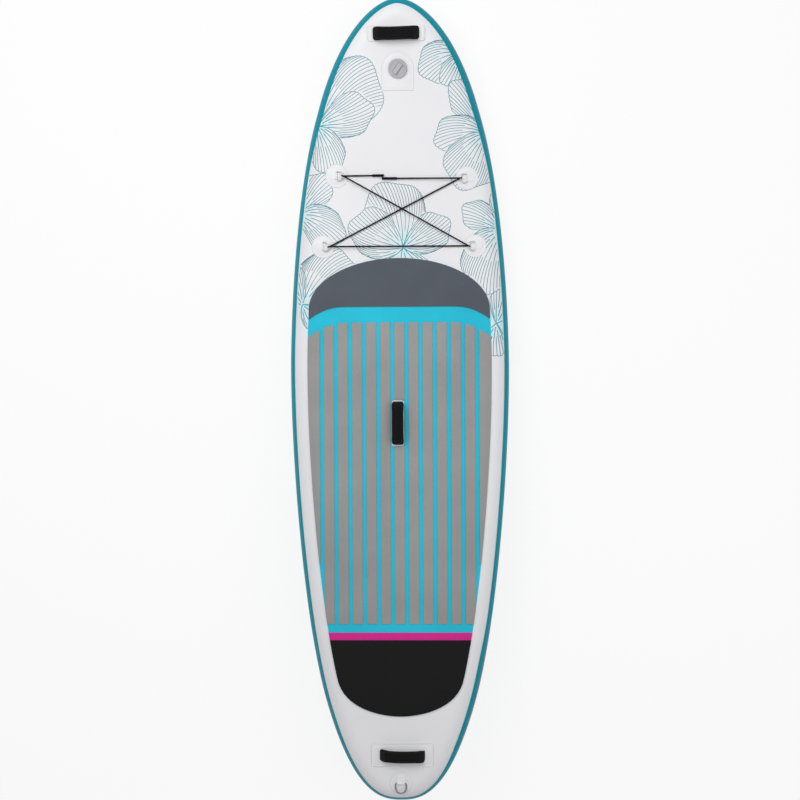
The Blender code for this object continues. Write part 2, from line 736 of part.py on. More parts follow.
def build_lashing(root):
    """Four rings, the cord that crosses between them and the two barrels of the knot in it."""
    spots = {}
    offset = KNOT_RADIUS + RUN
    for end, (half, middle, shift), lead in (("front", FRONT_RINGS, offset), ("rear", REAR_RINGS, 0.0)):
        for side, sign in (("left", -1), ("right", 1)):
            x = sign * half + shift
            y = middle - sign * lead
            matrix = fitting_matrix(x, y, 0.0 if sign < 0 else 180.0, ANCHOR_RADIUS)
            spots[end, side] = matrix
            build_ring(f"ring_{end}_{side}", matrix, (RING_LENGTH, RING_WIDTH, RING_WIRE), ANCHOR_LOOP,
                       lashing_rise(), root)
    knot_y = FRONT_RINGS[1]
    height = deck(knot_y + KNOT_RADIUS + offset) + KNOT_RADIUS + FIT
    near = knot_y - offset
    far = knot_y + offset
    start = Vector((KNOT_LEFT[1] - CORD_END, near, height))
    end = Vector((KNOT_RIGHT[0] + CORD_END, far, height))
    rings = (("front", "right", True), ("rear", "left", False),
             ("rear", "right", False), ("front", "left", True))
    bows = [spots[row, side] @ Vector((RING_LENGTH, 0, 0)) for row, side, over in rings]
    bends = [start] + bows + [end]
    route = [start, Vector((KNOT_RIGHT[1] + CORD_RUN_OUT, near, height))]
    for k, (row, side, over) in enumerate(rings):
        route += hook_points(spots[row, side], bends[k], bends[k + 2], over)
    route += [Vector((KNOT_LEFT[0] - CORD_RUN_OUT, far, height)), end]
    wire("bungee_cord", route, CORD_RADIUS, CORD, root)
    barrels = (("bungee_knot_left", KNOT_LEFT, far), ("bungee_knot_right", KNOT_RIGHT, near))
    for name, (low, high), y in barrels:
        barrel = finish(name, rod(KNOT_RADIUS, (low, y, height), (high, y, height), 12), CORD, root)
        bore = rod(CORD_RADIUS + FIT, (low - 0.01, y, height), (high + 0.01, y, height), 12)
        combine(barrel, finish("bore", bore, RUBBER, root))


def build_leash_ring(root):
    """The tail's leash ring and its anchor, pointing aft."""
    build_ring("leash_ring", fitting_matrix(0.0, LEASH_RING_AT, -90.0, 0.010),
               (LEASH_LENGTH, LEASH_WIDTH, LEASH_WIRE), LEASH_LOOP, 0.0, root)


def build_valve(root):
    """Patch, body, nut, stem, seal, spring, gasket and cap."""
    width, length = VALVE_PATCH
    rear = VALVE_AT - length + width / 2
    angles = [math.pi / 2 * k / 6 for k in range(7)]
    arc = [(width / 2 * math.sin(a), VALVE_AT + width / 2 * math.cos(a)) for a in angles]
    outline = mirrored(arc + [(width / 2, rear)])
    hole = rod(NECK_RADIUS + RUN, (0, VALVE_AT, -0.01), (0, VALVE_AT, 0.01), 24)
    plate("valve_patch", outline, FIT, FIT + VALVE_PATCH_THICKNESS, WHITE_PVC, root, [hole])

    frame = empty("valve_frame", fitting_matrix(0.0, VALVE_AT), root)
    flange_low = FIT + VALVE_PATCH_THICKNESS + 2 * FIT
    top = flange_low + FLANGE_THICKNESS
    bottom = -NECK_DEPTH
    profile = [
        (BORE_RADIUS, top), (FLANGE_RADIUS, top), (FLANGE_RADIUS, flange_low), (NECK_RADIUS, flange_low),
        (NECK_RADIUS, bottom), (SEAT_RADIUS, bottom), (SEAT_RADIUS, bottom + SEAT_THICKNESS),
        (BORE_RADIUS, bottom + SEAT_THICKNESS),
    ]
    body = finish("valve_body", turned(profile), GREY_PLASTIC, frame)
    hub_low = bottom + SEAT_THICKNESS + HUB_RISE
    hub_high = hub_low + HUB_HEIGHT
    hub = [(STEM_RADIUS + FIT, hub_low), (HUB_RADIUS, hub_low), (HUB_RADIUS, hub_high),
           (STEM_RADIUS + FIT, hub_high)]
    hub = finish("hub", turned(hub, 16), GREY_PLASTIC, frame)
    for k in range(3):
        turn = Matrix.Rotation(math.radians(120 * k), 4, "Z")
        reach = BORE_RADIUS - HUB_RADIUS + 2 * RIB_ROOT
        middle = HUB_RADIUS - RIB_ROOT + reach / 2
        rib = block((reach, RIB_WIDTH, HUB_HEIGHT), (middle, 0, (hub_low + hub_high) / 2))
        bmesh.ops.transform(rib, matrix=turn, verts=rib.verts)
        combine(hub, finish("rib", rib, GREY_PLASTIC, frame), "UNION")
    combine(body, hub, "UNION")

    nut_high = -SKIN - 4 * FIT
    nut = [(NECK_RADIUS + FIT, nut_high - NUT_THICKNESS), (NUT_RADIUS, nut_high - NUT_THICKNESS),
           (NUT_RADIUS, nut_high), (NECK_RADIUS + FIT, nut_high)]
    finish("valve_nut", turned(nut), GREY_PLASTIC, frame)

    seal_high = bottom - FIT
    seal_low = seal_high - SEAL_THICKNESS
    plate_low = seal_low - FIT - SEAL_PLATE
    plate_radius = SEAT_RADIUS + SEAL_PLATE_LAP
    stem_top = top - BUTTON_DROP
    button_low = stem_top - BUTTON_THICKNESS
    stem = [
        (0.0, stem_top), (BUTTON_RADIUS, stem_top), (BUTTON_RADIUS, button_low),
        (STEM_RADIUS, button_low), (STEM_RADIUS, seal_low - FIT), (plate_radius, seal_low - FIT),
        (plate_radius, plate_low), (0.0, plate_low),
    ]
    finish("valve_stem", turned(stem, 20), GREY_PLASTIC, frame)
    seal_radius = SEAT_RADIUS + SEAL_LAP
    seal = [(STEM_RADIUS + FIT, seal_low), (seal_radius, seal_low), (seal_radius, seal_high),
            (STEM_RADIUS + FIT, seal_high)]
    finish("valve_seal", turned(seal, 20), RUBBER, frame)

    coil_low = hub_high + SPRING_GAP
    coil_high = button_low - SPRING_GAP
    steps = 10
    points = []
    for k in range(SPRING_TURNS * steps + 1):
        angle = 2 * math.pi * k / steps
        height = coil_low + (coil_high - coil_low) * k / (SPRING_TURNS * steps)
        points.append((SPRING_RADIUS * math.cos(angle), SPRING_RADIUS * math.sin(angle), height))
    wire("valve_spring", points, SPRING_WIRE, STEEL, frame, resolution=1)

    cap_frame = empty("cap_frame", Matrix.Translation((0, 0, top)), frame)
    inner, outer = (FLANGE_RADIUS - inset for inset in GASKET_INSET)
    gasket_top = FIT + GASKET_THICKNESS
    gasket = [(inner, FIT), (outer, FIT), (outer, gasket_top), (inner, gasket_top)]
    finish("cap_gasket", turned(gasket), RUBBER, cap_frame)
    skirt_low = -CAP_SKIRT
    under = gasket_top + FIT
    cap = [
        (0.0, under), (FLANGE_RADIUS + RUN, under), (FLANGE_RADIUS + RUN, skirt_low), (CAP_RADIUS, skirt_low),
        (CAP_RADIUS, CAP_THICKNESS - CAP_EDGE), (CAP_RADIUS - CAP_EDGE, CAP_THICKNESS), (0.0, CAP_THICKNESS),
    ]
    cap = finish("valve_cap", turned(cap, 32), GREY_PLASTIC, cap_frame)
    bar_length, bar_width, bar_height = CAP_BAR
    points = rounded_rectangle(bar_length, bar_width, CAP_BAR_CORNER)
    heights = (CAP_THICKNESS - CAP_EDGE, CAP_THICKNESS + bar_height)
    bar = loft([[(x, y, z) for x, y in points] for z in heights])
    bmesh.ops.rotate(bar, cent=(0, 0, 0), verts=bar.verts,
                     matrix=Matrix.Rotation(math.radians(CAP_BAR_TURN), 3, "Z"))
    combine(cap, finish("bar", bar, GREY_PLASTIC, cap_frame), "UNION")


def fin_sections(depth_steps=7):
    """Foil sections of the fin from its root down to its tip, in the board frame."""
    root = -BOX_SIZE[2] - RUN
    loops = []
    for k in range(depth_steps + 1):
        share = k / depth_steps
        down = share * FIN_DEPTH
        front = FIN_FRONT - FIN_SWEEP * share ** 1.7 - FIN_RAKE * share
        rear = FIN_FRONT - FIN_CHORD + FIN_BELLY * math.sin(math.pi * share) - FIN_TIP_DRAW * share ** 2.5
        chord = max(front - rear, FIN_TIP_CHORD)
        thickness = FIN_THICKNESS * (1 - 0.72 * share)
        foil = []
        for n in range(12):
            angle = 2 * math.pi * n / 12
            along = (1 + math.cos(angle)) / 2
            swell = math.sin(angle) * (0.55 + 0.45 * along)
            foil.append((thickness / 2 * swell, rear + chord * along, root - down))
        loops.append(foil)
    return loops


def build_fin(root):
    """Fin box bonded to the belly, the fin in its slot, and the pin, plate and screw that hold it."""
    width, length, height = BOX_SIZE
    top = -FIT
    box_frame = empty("fin_box_frame", Matrix.Identity(4), root)
    points = rounded_rectangle(BOX_FLANGE[0], BOX_FLANGE[1], BOX_FLANGE_CORNER, 4)
    flange = loft([[(x, y + BOX_AT, z) for x, y in points] for z in (top - BOX_FLANGE[2], top)])
    box = finish("fin_box", flange, FIN_PLASTIC, box_frame)
    lower = rounded_rectangle(width, length - 0.012, 0.012)
    upper = rounded_rectangle(width + 0.014, length + 0.010, 0.018)
    body = loft([[(x, y + BOX_AT, -height) for x, y in lower],
                 [(x, y + BOX_AT, top - BOX_FLANGE[2] / 2) for x, y in upper]])
    combine(box, finish("body", body, FIN_PLASTIC, box_frame), "UNION")
    slot = block((SLOT_WIDTH, SLOT_LENGTH, SLOT_DEPTH + 0.01), (0, BOX_AT, -height + SLOT_DEPTH / 2 - 0.005))
    combine(box, finish("slot", slot, RUBBER, box_frame))
    channel_middle = -height + CHANNEL_DEPTH + CHANNEL_HEIGHT / 2
    channel = block((CHANNEL_WIDTH, SLOT_LENGTH, CHANNEL_HEIGHT), (0, BOX_AT, channel_middle))
    combine(box, finish("channel", channel, RUBBER, box_frame))
    entry_middle = -height + CHANNEL_DEPTH / 2 - 0.004
    entry = block((CHANNEL_WIDTH, ENTRY_LENGTH, CHANNEL_DEPTH + 0.01), (0, BOX_AT, entry_middle))
    combine(box, finish("entry", entry, RUBBER, box_frame))

    fin_frame = empty("fin_frame", Matrix.Identity(4), root)
    fin = finish("fin", loft(fin_sections()), FIN_PLASTIC, fin_frame)
    tab_front = FIN_FRONT - TAB_INSET[0]
    tab_rear = FIN_FRONT - FIN_CHORD + TAB_INSET[1]
    tab_width = SLOT_WIDTH - 2 * RUN
    tab = block((tab_width, tab_front - tab_rear, FIN_TAB + 0.002),
                (0, (tab_front + tab_rear) / 2, -height + FIN_TAB / 2 - 0.001 - RUN))
    combine(fin, finish("tab", tab, FIN_PLASTIC, fin_frame), "UNION")
    pin_y = tab_rear + PIN_FROM_TAB_END
    hole = rod(PIN_RADIUS + FIT, (-0.02, pin_y, channel_middle), (0.02, pin_y, channel_middle), 12)
    combine(fin, finish("pin_hole", hole, RUBBER, fin_frame))
    finish("fin_pin", rod(PIN_RADIUS, (-PIN_LENGTH / 2, pin_y, channel_middle),
                          (PIN_LENGTH / 2, pin_y, channel_middle), 12), STEEL, fin_frame)

    screw_y = FIN_FRONT + SCREW_AHEAD
    lug_length, lug_height = LUG
    lug_middle = (0, FIN_FRONT - LUG_BACK, -height + lug_height / 2 - RUN)
    lug = block((tab_width, lug_length, lug_height), lug_middle)
    combine(fin, finish("lug", lug, FIN_PLASTIC, fin_frame), "UNION")
    hole = rod(SCREW_RADIUS + FIT, (0, screw_y, -height - 0.01), (0, screw_y, 0), 16)
    combine(fin, finish("screw_hole", hole, RUBBER, fin_frame))
    plate_low = -height + CHANNEL_DEPTH + FIT
    nut = block(PLATE_SIZE, (0, screw_y, plate_low + PLATE_SIZE[2] / 2))
    nut = finish("fin_plate", nut, BRASS, fin_frame)
    hole = rod(SCREW_RADIUS + FIT, (0, screw_y, -height), (0, screw_y, 0), 16)
    combine(nut, finish("nut_hole", hole, RUBBER, fin_frame))
    screw_frame = empty("fin_screw_frame", Matrix.Translation((0, screw_y, -height)), fin_frame)
    head, head_height = SCREW_HEAD
    under_head = -RUN - FIT
    head_low = under_head - head_height
    tip = CHANNEL_DEPTH + PLATE_SIZE[2] + FIT
    profile = [(0.0, head_low), (head, head_low), (head, under_head),
               (SCREW_RADIUS, under_head), (SCREW_RADIUS, tip), (0.0, tip)]
    screw = finish("fin_screw", turned(profile, 16), STEEL, screw_frame)
    groove = block((3 * head, DRIVER_SLOT[0], 2 * DRIVER_SLOT[1]), (0, 0, head_low))
    combine(screw, finish("groove", groove, RUBBER, screw_frame))


def resting_pose():
    """Stands the board on its fin tip and on the belly under the nose, centred on the origin."""
    tip = min((point for loop in fin_sections() for point in loop), key=lambda p: p[2])
    belly = [(p.y, p.z) for p in rail_loop(SKIN_RADIUS, -90.0) if p.y > 0]
    tilt = -math.atan(min((z - tip[2]) / (y - tip[1]) for y, z in belly))
    turn = Matrix.Rotation(tilt, 4, "X")
    lowest = (turn @ Vector(tip)).z
    edge = [(turn @ point).y for angle in (TAPE_EDGE, SEAM_EDGE, 0.0, -SEAM_EDGE, -TAPE_EDGE)
            for point in rail_loop(TAPE_RADIUS, angle)]
    return Matrix.Translation((0, -(max(edge) + min(edge)) / 2, -lowest)) @ turn


def main():
    for old in list(bpy.data.objects):
        bpy.data.objects.remove(old)
    root = empty("board", Matrix.Identity(4), None)
    build_hull(root)
    build_pad(root)
    across = fitting_matrix(*CENTRE_HANDLE_AT, 90.0)
    build_handle("centre_handle", across, CENTRE_GRIP, centre_patch(), False, root)
    build_handle("nose_handle", fitting_matrix(*NOSE_HANDLE_AT), NOSE_GRIP, NOSE_PATCH, True, root)
    build_handle("tail_handle", fitting_matrix(*TAIL_HANDLE_AT), TAIL_GRIP, TAIL_PATCH, True, root)
    build_lashing(root)
    build_leash_ring(root)
    build_valve(root)
    build_fin(root)
    root.matrix_local = resting_pose()
    bpy.context.view_layer.update()


main()
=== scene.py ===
"""Looks of an inflatable stand-up paddle board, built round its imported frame."""

import json
import math

import bmesh
import bpy
import numpy as np
from bpy.props import FloatProperty, FloatVectorProperty, PointerProperty
from bpy.types import Operator, Panel, PropertyGroup
from mathutils import Matrix, Vector


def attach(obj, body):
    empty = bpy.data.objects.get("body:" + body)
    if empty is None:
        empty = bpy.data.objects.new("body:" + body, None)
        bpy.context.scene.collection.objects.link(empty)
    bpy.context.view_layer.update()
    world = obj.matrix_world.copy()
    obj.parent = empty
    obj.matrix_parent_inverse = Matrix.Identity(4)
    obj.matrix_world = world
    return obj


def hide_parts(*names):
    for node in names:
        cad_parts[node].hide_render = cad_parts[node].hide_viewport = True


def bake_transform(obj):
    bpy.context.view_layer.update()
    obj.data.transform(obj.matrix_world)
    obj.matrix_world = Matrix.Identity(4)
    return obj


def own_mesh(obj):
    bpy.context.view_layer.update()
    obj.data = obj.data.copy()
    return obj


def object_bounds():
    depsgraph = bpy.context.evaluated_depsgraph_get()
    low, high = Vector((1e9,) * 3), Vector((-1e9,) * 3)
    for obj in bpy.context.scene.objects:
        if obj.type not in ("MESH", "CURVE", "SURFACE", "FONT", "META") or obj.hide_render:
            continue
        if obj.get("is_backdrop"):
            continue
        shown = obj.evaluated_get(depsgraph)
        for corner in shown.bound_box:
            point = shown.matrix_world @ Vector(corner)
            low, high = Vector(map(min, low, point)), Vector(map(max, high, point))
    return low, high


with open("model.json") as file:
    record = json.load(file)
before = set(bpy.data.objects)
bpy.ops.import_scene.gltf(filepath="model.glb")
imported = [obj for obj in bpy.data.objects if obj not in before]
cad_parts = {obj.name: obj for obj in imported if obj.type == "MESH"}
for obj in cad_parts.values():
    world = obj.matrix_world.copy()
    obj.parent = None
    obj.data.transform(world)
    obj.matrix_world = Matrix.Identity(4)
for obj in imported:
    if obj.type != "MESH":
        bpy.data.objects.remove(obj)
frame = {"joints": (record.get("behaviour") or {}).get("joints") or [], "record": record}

bl_info = {
    "name": "Paddle board",
    "version": (1, 0, 0),
    "blender": (4, 5, 0),
    "location": "View3D > Sidebar > Board",
    "description": "Models and finishes an inflatable paddle board piece by piece",
    "category": "Object",
}

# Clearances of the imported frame
FIT = 0.0003
RUN = 0.0005

# Right half of the hull's plan as cubic curves, nose to tail, in half beams and half lengths
OUTLINE = (
    ((0.0, 1.0), (0.160, 1.0), (0.512, 0.945), (0.730, 0.734)),
    ((0.730, 0.734), (0.972, 0.522), (1.0, 0.182), (1.0, 0.097)),
    ((1.0, 0.097), (1.0, -0.129), (0.893, -0.548), (0.680, -0.753)),
    ((0.680, -0.753), (0.435, -0.988), (0.191, -1.0), (0.0, -1.0)),
)
# Samples on each curve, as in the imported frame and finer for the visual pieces
FRAME_STEPS = (8, 6, 7, 9)
FINE_STEPS = (40, 26, 30, 40)
# Angle on the rail, up and down from its middle, where the tape and the side wall end
TAPE_EDGE = 41.0
SEAM_EDGE = 20.0
# Degrees of rail to one unit of the value that the tape's finish reads
BAND_DEGREES = 4.5


def joint(name):
    """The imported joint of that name."""
    return next(j for j in frame["joints"] if j["name"] == name)


def board_matrix():
    """Board coordinates to the frame's: X across, Y to the nose, Z up from the flat belly."""
    along = Vector(joint("fin_slide")["axis"]).normalized()
    across = Vector((1, 0, 0))
    up = across.cross(along)
    face = next(m for m in frame["record"]["mounts"] if m["name"] == "belly_face")
    origin = Vector(face["pos_m"]) - 0.12 * across + 0.30 * along
    turn = Matrix((across, along, up)).transposed().to_4x4()
    return Matrix.Translation(origin) @ turn


BOARD = board_matrix()


def size(name, text, default, low=0.0):
    """A length in metres that a user can set."""
    return FloatProperty(name=name, description=text, default=default, min=low, max=10.0,
                         unit="LENGTH", subtype="DISTANCE", precision=4)


def colour(name, text, default):
    """A finish colour that a user can set."""
    return FloatVectorProperty(name=name, description=text, default=default, size=3,
                               min=0.0, max=1.0, subtype="COLOR")


class HullSizes(PropertyGroup):
    """Outer sizes of the inflated hull."""
    length: size("Length", "Overall length of the hull", 2.896)
    beam: size("Beam", "Widest part of the hull", 0.803)
    thickness: size("Thickness", "Height of the inflated core", 0.150)
    nose_lift: size("Nose lift", "Rise of the rocker at the nose", 0.170)
    lift_start: size("Lift start", "Where the rocker leaves the flat, forward of amidships", 0.250)
    lift_power: FloatProperty(name="Lift power", description="How late the rocker rises", default=2.2)
    skin: size("Skin", "Thickness of the coated deck and belly cloth", 0.0008)
    tape: size("Tape", "Thickness of the rail tape", 0.0010)


class PadSizes(PropertyGroup):
    """Sizes of the foam deck pad."""
    margin: size("Margin", "From the hull's outline to the pad's side", 0.067)
    base: size("Base", "Thickness of the base foam", 0.0020)
    top: size("Top", "Thickness of the foam on the base", 0.0030)
    nose: size("Nose", "Front end of the pad", 0.5375)
    shoulder: size("Shoulder", "Where the pad's round front starts", 0.351)
    rear: size("Rear", "Rear end of the pad", -1.125, -10.0)
    corner: size("Corner", "Where the pad's round rear starts", -0.980, -10.0)
    plank_front: size("Plank front", "Front end of the grey planks", 0.305)
    plank_rear: size("Plank rear", "Rear end of the grey planks", -0.789, -10.0)
    pitch: size("Pitch", "From one plank's middle to the next", 0.0512)
    groove: size("Groove", "Width of the bare base between planks", 0.0145)


class HandleSizes(PropertyGroup):
    """Sizes shared by the three carry handles."""
    grip: size("Grip", "Thickness of the padded grip", 0.011)
    strap: size("Strap", "Width of the webbing strap", 0.034)
    webbing: size("Webbing", "Thickness of the webbing", 0.0018)
    patch: size("Patch", "Thickness of the welded patch", 0.0036)
    stitch: size("Stitch", "Length of one stitch", 0.0032)


class LashingSizes(PropertyGroup):
    """Sizes of the rings and of the cord that they hold."""
    wire: size("Wire", "Radius of a lashing ring's wire", 0.0020)
    ring_length: size("Ring length", "From the bar's back to the bow's front", 0.029)
    ring_width: size("Ring width", "Across a lashing ring", 0.036)
    anchor: size("Anchor", "Radius of a ring's round patch", 0.040)
    loop: size("Loop", "Width of the strip over a ring's bar", 0.022)
    cord: size("Cord", "Radius of the bungee cord", 0.00275)
    knot: size("Knot", "Radius of the knot's wraps", 0.0048)
    leash_wire: size("Leash wire", "Radius of the leash ring's wire", 0.00225)


class ValveSizes(PropertyGroup):
    """Sizes of the inflation valve."""
    place: size("Place", "Forward of amidships", 1.1994)
    patch_width: size("Patch width", "Width of the arched patch", 0.112)
    patch_length: size("Patch length", "Length of the arched patch", 0.1297)
    neck: size("Neck", "Radius of the neck", 0.0217)
    bore: size("Bore", "Radius of the bore", 0.0175)
    flange: size("Flange", "Radius of the flange", 0.0310)
    cap: size("Cap", "Radius of the cap", 0.0335)
    cap_height: size("Cap height", "Height of the cap over the flange", 0.0065)
    bar_turn: FloatProperty(name="Bar turn", description="Angle of the cap's bar in degrees", default=53.0)


class FinSizes(PropertyGroup):
    """Sizes of the fin and its box."""
    place: size("Place", "Middle of the fin box", -1.165, -10.0)
    front: size("Front", "Leading edge at the fin's root", -1.098, -10.0)
    depth: size("Depth", "Below the fin box", 0.200)
    chord: size("Chord", "Length of the root", 0.165)
    box_height: size("Box height", "Below the belly", 0.024)


class PrintSizes(PropertyGroup):
    """Sizes of the printed fans."""
    line: size("Line", "Width of a printed line", 0.0027)
    gap: size("Gap", "From line to line at a fan's outer edge", 0.0125)


class Colours(PropertyGroup):
    """Colours of the finishes."""
    white: colour("White", "Coated deck cloth", (0.80, 0.80, 0.825))
    teal: colour("Teal", "Rail tape and belly", (0.002, 0.275, 0.352))
    cyan: colour("Cyan", "Base foam of the pad", (0.026, 0.540, 0.720))
    grey: colour("Grey", "Foam planks", (0.330, 0.322, 0.314))
    charcoal: colour("Charcoal", "Front panel of the pad", (0.094, 0.107, 0.128))
    magenta: colour("Magenta", "Stripe across the pad", (0.680, 0.026, 0.275))
    black: colour("Black", "Tail panel and grips", (0.0055, 0.0055, 0.0055))
    ink: colour("Ink", "Printed lines", (0.034, 0.215, 0.265))
    valve: colour("Valve", "Moulded valve parts", (0.400, 0.395, 0.420))


class StageSizes(PropertyGroup):
    """Place and lens of the camera."""
    distance: size("Distance", "Camera above the board's middle height", 4.7645)
    aside: size("Aside", "Camera to the right of the middle line", 0.110)
    along: size("Along", "Camera forward of amidships", 0.045)
    aim: size("Aim", "Point of the deck that the camera looks at, forward of amidships", 0.0234)
    lens: FloatProperty(name="Lens", description="Focal length", default=58.2, unit="CAMERA")
    roll: FloatProperty(name="Roll", description="Turn of the picture in degrees", default=-0.22)


class BoardSettings(PropertyGroup):
    """All that a user can set."""
    hull: PointerProperty(type=HullSizes)
    pad: PointerProperty(type=PadSizes)
    handle: PointerProperty(type=HandleSizes)
    lashing: PointerProperty(type=LashingSizes)
    valve: PointerProperty(type=ValveSizes)
    fin: PointerProperty(type=FinSizes)
    deck_print: PointerProperty(type=PrintSizes)
    colours: PointerProperty(type=Colours)
    stage: PointerProperty(type=StageSizes)


def settings():
    """The board's settings in this scene."""
    return bpy.context.scene.paddle_board


def bezier(points, t):
    """Point and direction on a cubic curve."""
    a, b, c, d = (Vector(p) for p in points)
    s = 1 - t
    place = s ** 3 * a + 3 * s * s * t * b + 3 * s * t * t * c + t ** 3 * d
    heading = 3 * s * s * (b - a) + 6 * s * t * (c - b) + 3 * t * t * (d - c)
    return place, heading


class Hull:
    """The hull's shape in board coordinates."""

    def __init__(self):
        self.sizes = settings().hull
        self.pad = settings().pad
        self.half = self.sizes.thickness / 2
        self.tape = self.half + FIT + self.sizes.tape
        self.stations = [(p.y, self.lift(p.y)) for p, n in self.side(self.tape, FRAME_STEPS)]
        edge = self.side(self.tape, FINE_STEPS)
        self.edge = np.array([(p.x, p.y) for p, n in edge])

    def lift(self, y):
        """Height that the rocker adds."""
        s = self.sizes
        share = max(y - s.lift_start, 0.0) / (s.length / 2 - s.lift_start)
        return s.nose_lift * share ** s.lift_power

    def side(self, inset, steps=FINE_STEPS):
        """Right side of the plan, nose to tail, moved inwards, with its outward normals."""
        scale = Vector((self.sizes.beam / 2, self.sizes.length / 2))
        found = []
        for segment, count in zip(OUTLINE, steps):
            for k in range(1 if found else 0, count + 1):
                place, heading = bezier([Vector(p) * scale for p in segment], k / count)
                normal = Vector((-heading.y, heading.x)).normalized()
                found.append((place, -normal if normal.x < 0 else normal))
        found[0] = (found[0][0], Vector((0, 1)))
        found[-1] = (found[-1][0], Vector((0, -1)))
        return [(place - inset * normal, normal) for place, normal in found]

    def frame_height(self, y):
        """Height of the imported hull's deck, which is flat from station to station."""
        for (ahead, high), (behind, low) in zip(self.stations, self.stations[1:]):
            if y >= behind:
                return self.sizes.thickness + low + (high - low) * (y - behind) / (ahead - behind)
        return self.sizes.thickness

    def outside(self, x, y):
        """How far a plan point lies outside the line where the deck starts to round down."""
        point = np.array((abs(x), y))
        start, end = self.edge[:-1], self.edge[1:]
        along = end - start
        share = ((point - start) * along).sum(1) / (along ** 2).sum(1)
        gap = point - (start + np.clip(share, 0, 1)[:, None] * along)
        nearest = int((gap ** 2).sum(1).argmin())
        side = along[nearest][0] * gap[nearest][1] - along[nearest][1] * gap[nearest][0]
        return math.copysign(float(np.hypot(*gap[nearest])), side)

    def height(self, x, y):
        """Height of the deck's outer face at a plan point, on the rounded rail too."""
        out = min(max(self.outside(x, y), 0.0), self.half)
        return self.half + math.sqrt(self.half ** 2 - out ** 2) + self.lift(y)

    def fitting(self, x, y, turn=0.0, reach=0.030):
        """Frame of a flat fitting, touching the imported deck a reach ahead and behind."""
        ahead, behind = self.frame_height(y + reach), self.frame_height(y - reach)
        pitch = Matrix.Rotation(math.atan((ahead - behind) / (2 * reach)), 4, "X")
        place = Matrix.Translation((x, y, (ahead + behind) / 2))
        return place @ pitch @ Matrix.Rotation(math.radians(turn), 4, "Z")


def deselect():
    """Leaves edit mode and selects nothing."""
    if bpy.context.mode != "OBJECT":
        bpy.ops.object.mode_set(mode="OBJECT")
    bpy.ops.object.select_all(action="DESELECT")


def choose(*pieces):
    """Selects these objects alone; the first is the active one."""
    deselect()
    for piece in pieces:
        piece.select_set(True)
    bpy.context.view_layer.objects.active = pieces[0]


def named(name):
    """Names the active object."""
    piece = bpy.context.active_object
    piece.name = name
    piece.data.name = name
    return piece


def added(name, operator, **values):
    """The object that an operator adds, under its name."""
    deselect()
    operator(**values)
    return named(name)


def pick(kind, test):
    """Selects the edges or the faces that pass a test, in the mesh in edit mode."""
    bpy.ops.mesh.select_mode(type=kind)
    bpy.ops.mesh.select_all(action="DESELECT")
    mesh = bmesh.from_edit_mesh(bpy.context.active_object.data)
    mesh.normal_update()
    for part in mesh.edges if kind == "EDGE" else mesh.faces:
        part.select_set(test(part))
    mesh.select_flush_mode()
    bmesh.update_edit_mesh(bpy.context.active_object.data)


def middle(edge):
    """Middle of an edge."""
    return (edge.verts[0].co + edge.verts[1].co) / 2


def edit(piece):
    """Opens a piece in edit mode with all of it selected."""
    choose(piece)
    bpy.ops.object.mode_set(mode="EDIT")
    bpy.ops.mesh.select_all(action="SELECT")


def close(piece, tidy=True):
    """Merges doubles, turns the faces outwards and leaves edit mode."""
    if tidy:
        bpy.ops.mesh.select_all(action="SELECT")
        bpy.ops.mesh.remove_doubles(threshold=0.00001)
        bpy.ops.mesh.normals_make_consistent(inside=False)
    bpy.ops.object.mode_set(mode="OBJECT")
    return piece


def reshape(piece, rule):
    """Moves every vertex by a rule of its place."""
    for vertex in piece.data.vertices:
        vertex.co = rule(vertex.co.copy())
    piece.data.update()
    return piece


def apply(piece, kind, **values):
    """Adds a modifier with these values and applies it."""
    modifier = piece.modifiers.new(kind.lower(), kind)
    for key, value in values.items():
        setattr(modifier, key, value)
    choose(piece)
    bpy.ops.object.modifier_apply(modifier=modifier.name)
    return piece


def smooth(piece, angle=35.0):
    """Smooth shading, but for edges sharper than the angle."""
    choose(piece)
    bpy.ops.object.shade_smooth_by_angle(angle=math.radians(angle))
    return piece


def put(piece, matrix=Matrix()):
    """Puts a piece modelled at the origin in its place, and applies the place to its mesh."""
    choose(piece)
    piece.matrix_world = matrix @ piece.matrix_world
    bpy.ops.object.transform_apply(location=True, rotation=True, scale=True)
    return piece


def settle(piece, body, finish_of, *nodes):
    """Moves a piece from board coordinates to the frame's, and gives it its finish and its body."""
    put(piece, BOARD)
    piece.data.materials.clear()
    piece.data.materials.append(finish(finish_of))
    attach(piece, body)
    if nodes:
        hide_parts(*nodes)
    return piece


def join(name, pieces):
    """Joins pieces to one object."""
    choose(*pieces)
    bpy.ops.object.join()
    return named(name)


def drum(name, radius, depth, place=(0, 0, 0), turn=(0, 0, 0), sides=32):
    """A round tool for holes and notches."""
    return added(name, bpy.ops.mesh.primitive_cylinder_add, vertices=sides, radius=radius, depth=depth,
                 location=place, rotation=turn)


def block(name, size_of, place=(0, 0, 0)):
    """A square block, for grooves and lugs."""
    piece = added(name, bpy.ops.mesh.primitive_cube_add, size=1.0, location=place)
    piece.scale = size_of
    return put(piece)


def cut(piece, tool, operation="DIFFERENCE"):
    """Cuts the tool from the piece, or joins it on, and removes the tool."""
    apply(piece, "BOOLEAN", operation=operation, object=tool, solver="EXACT")
    bpy.data.objects.remove(tool)
    return piece


def rounded(width, length, radius, steps=6):
    """Points of a rectangle with round corners, centred on the origin."""
    points = []
    for corner, (sx, sy) in enumerate(((1, 1), (-1, 1), (-1, -1), (1, -1))):
        for k in range(steps + 1):
            angle = math.radians(90 * corner + 90 * k / steps)
            x = sx * (width / 2 - radius) + radius * math.cos(angle)
            y = sy * (length / 2 - radius) + radius * math.sin(angle)
            points.append((x, y))
    return points


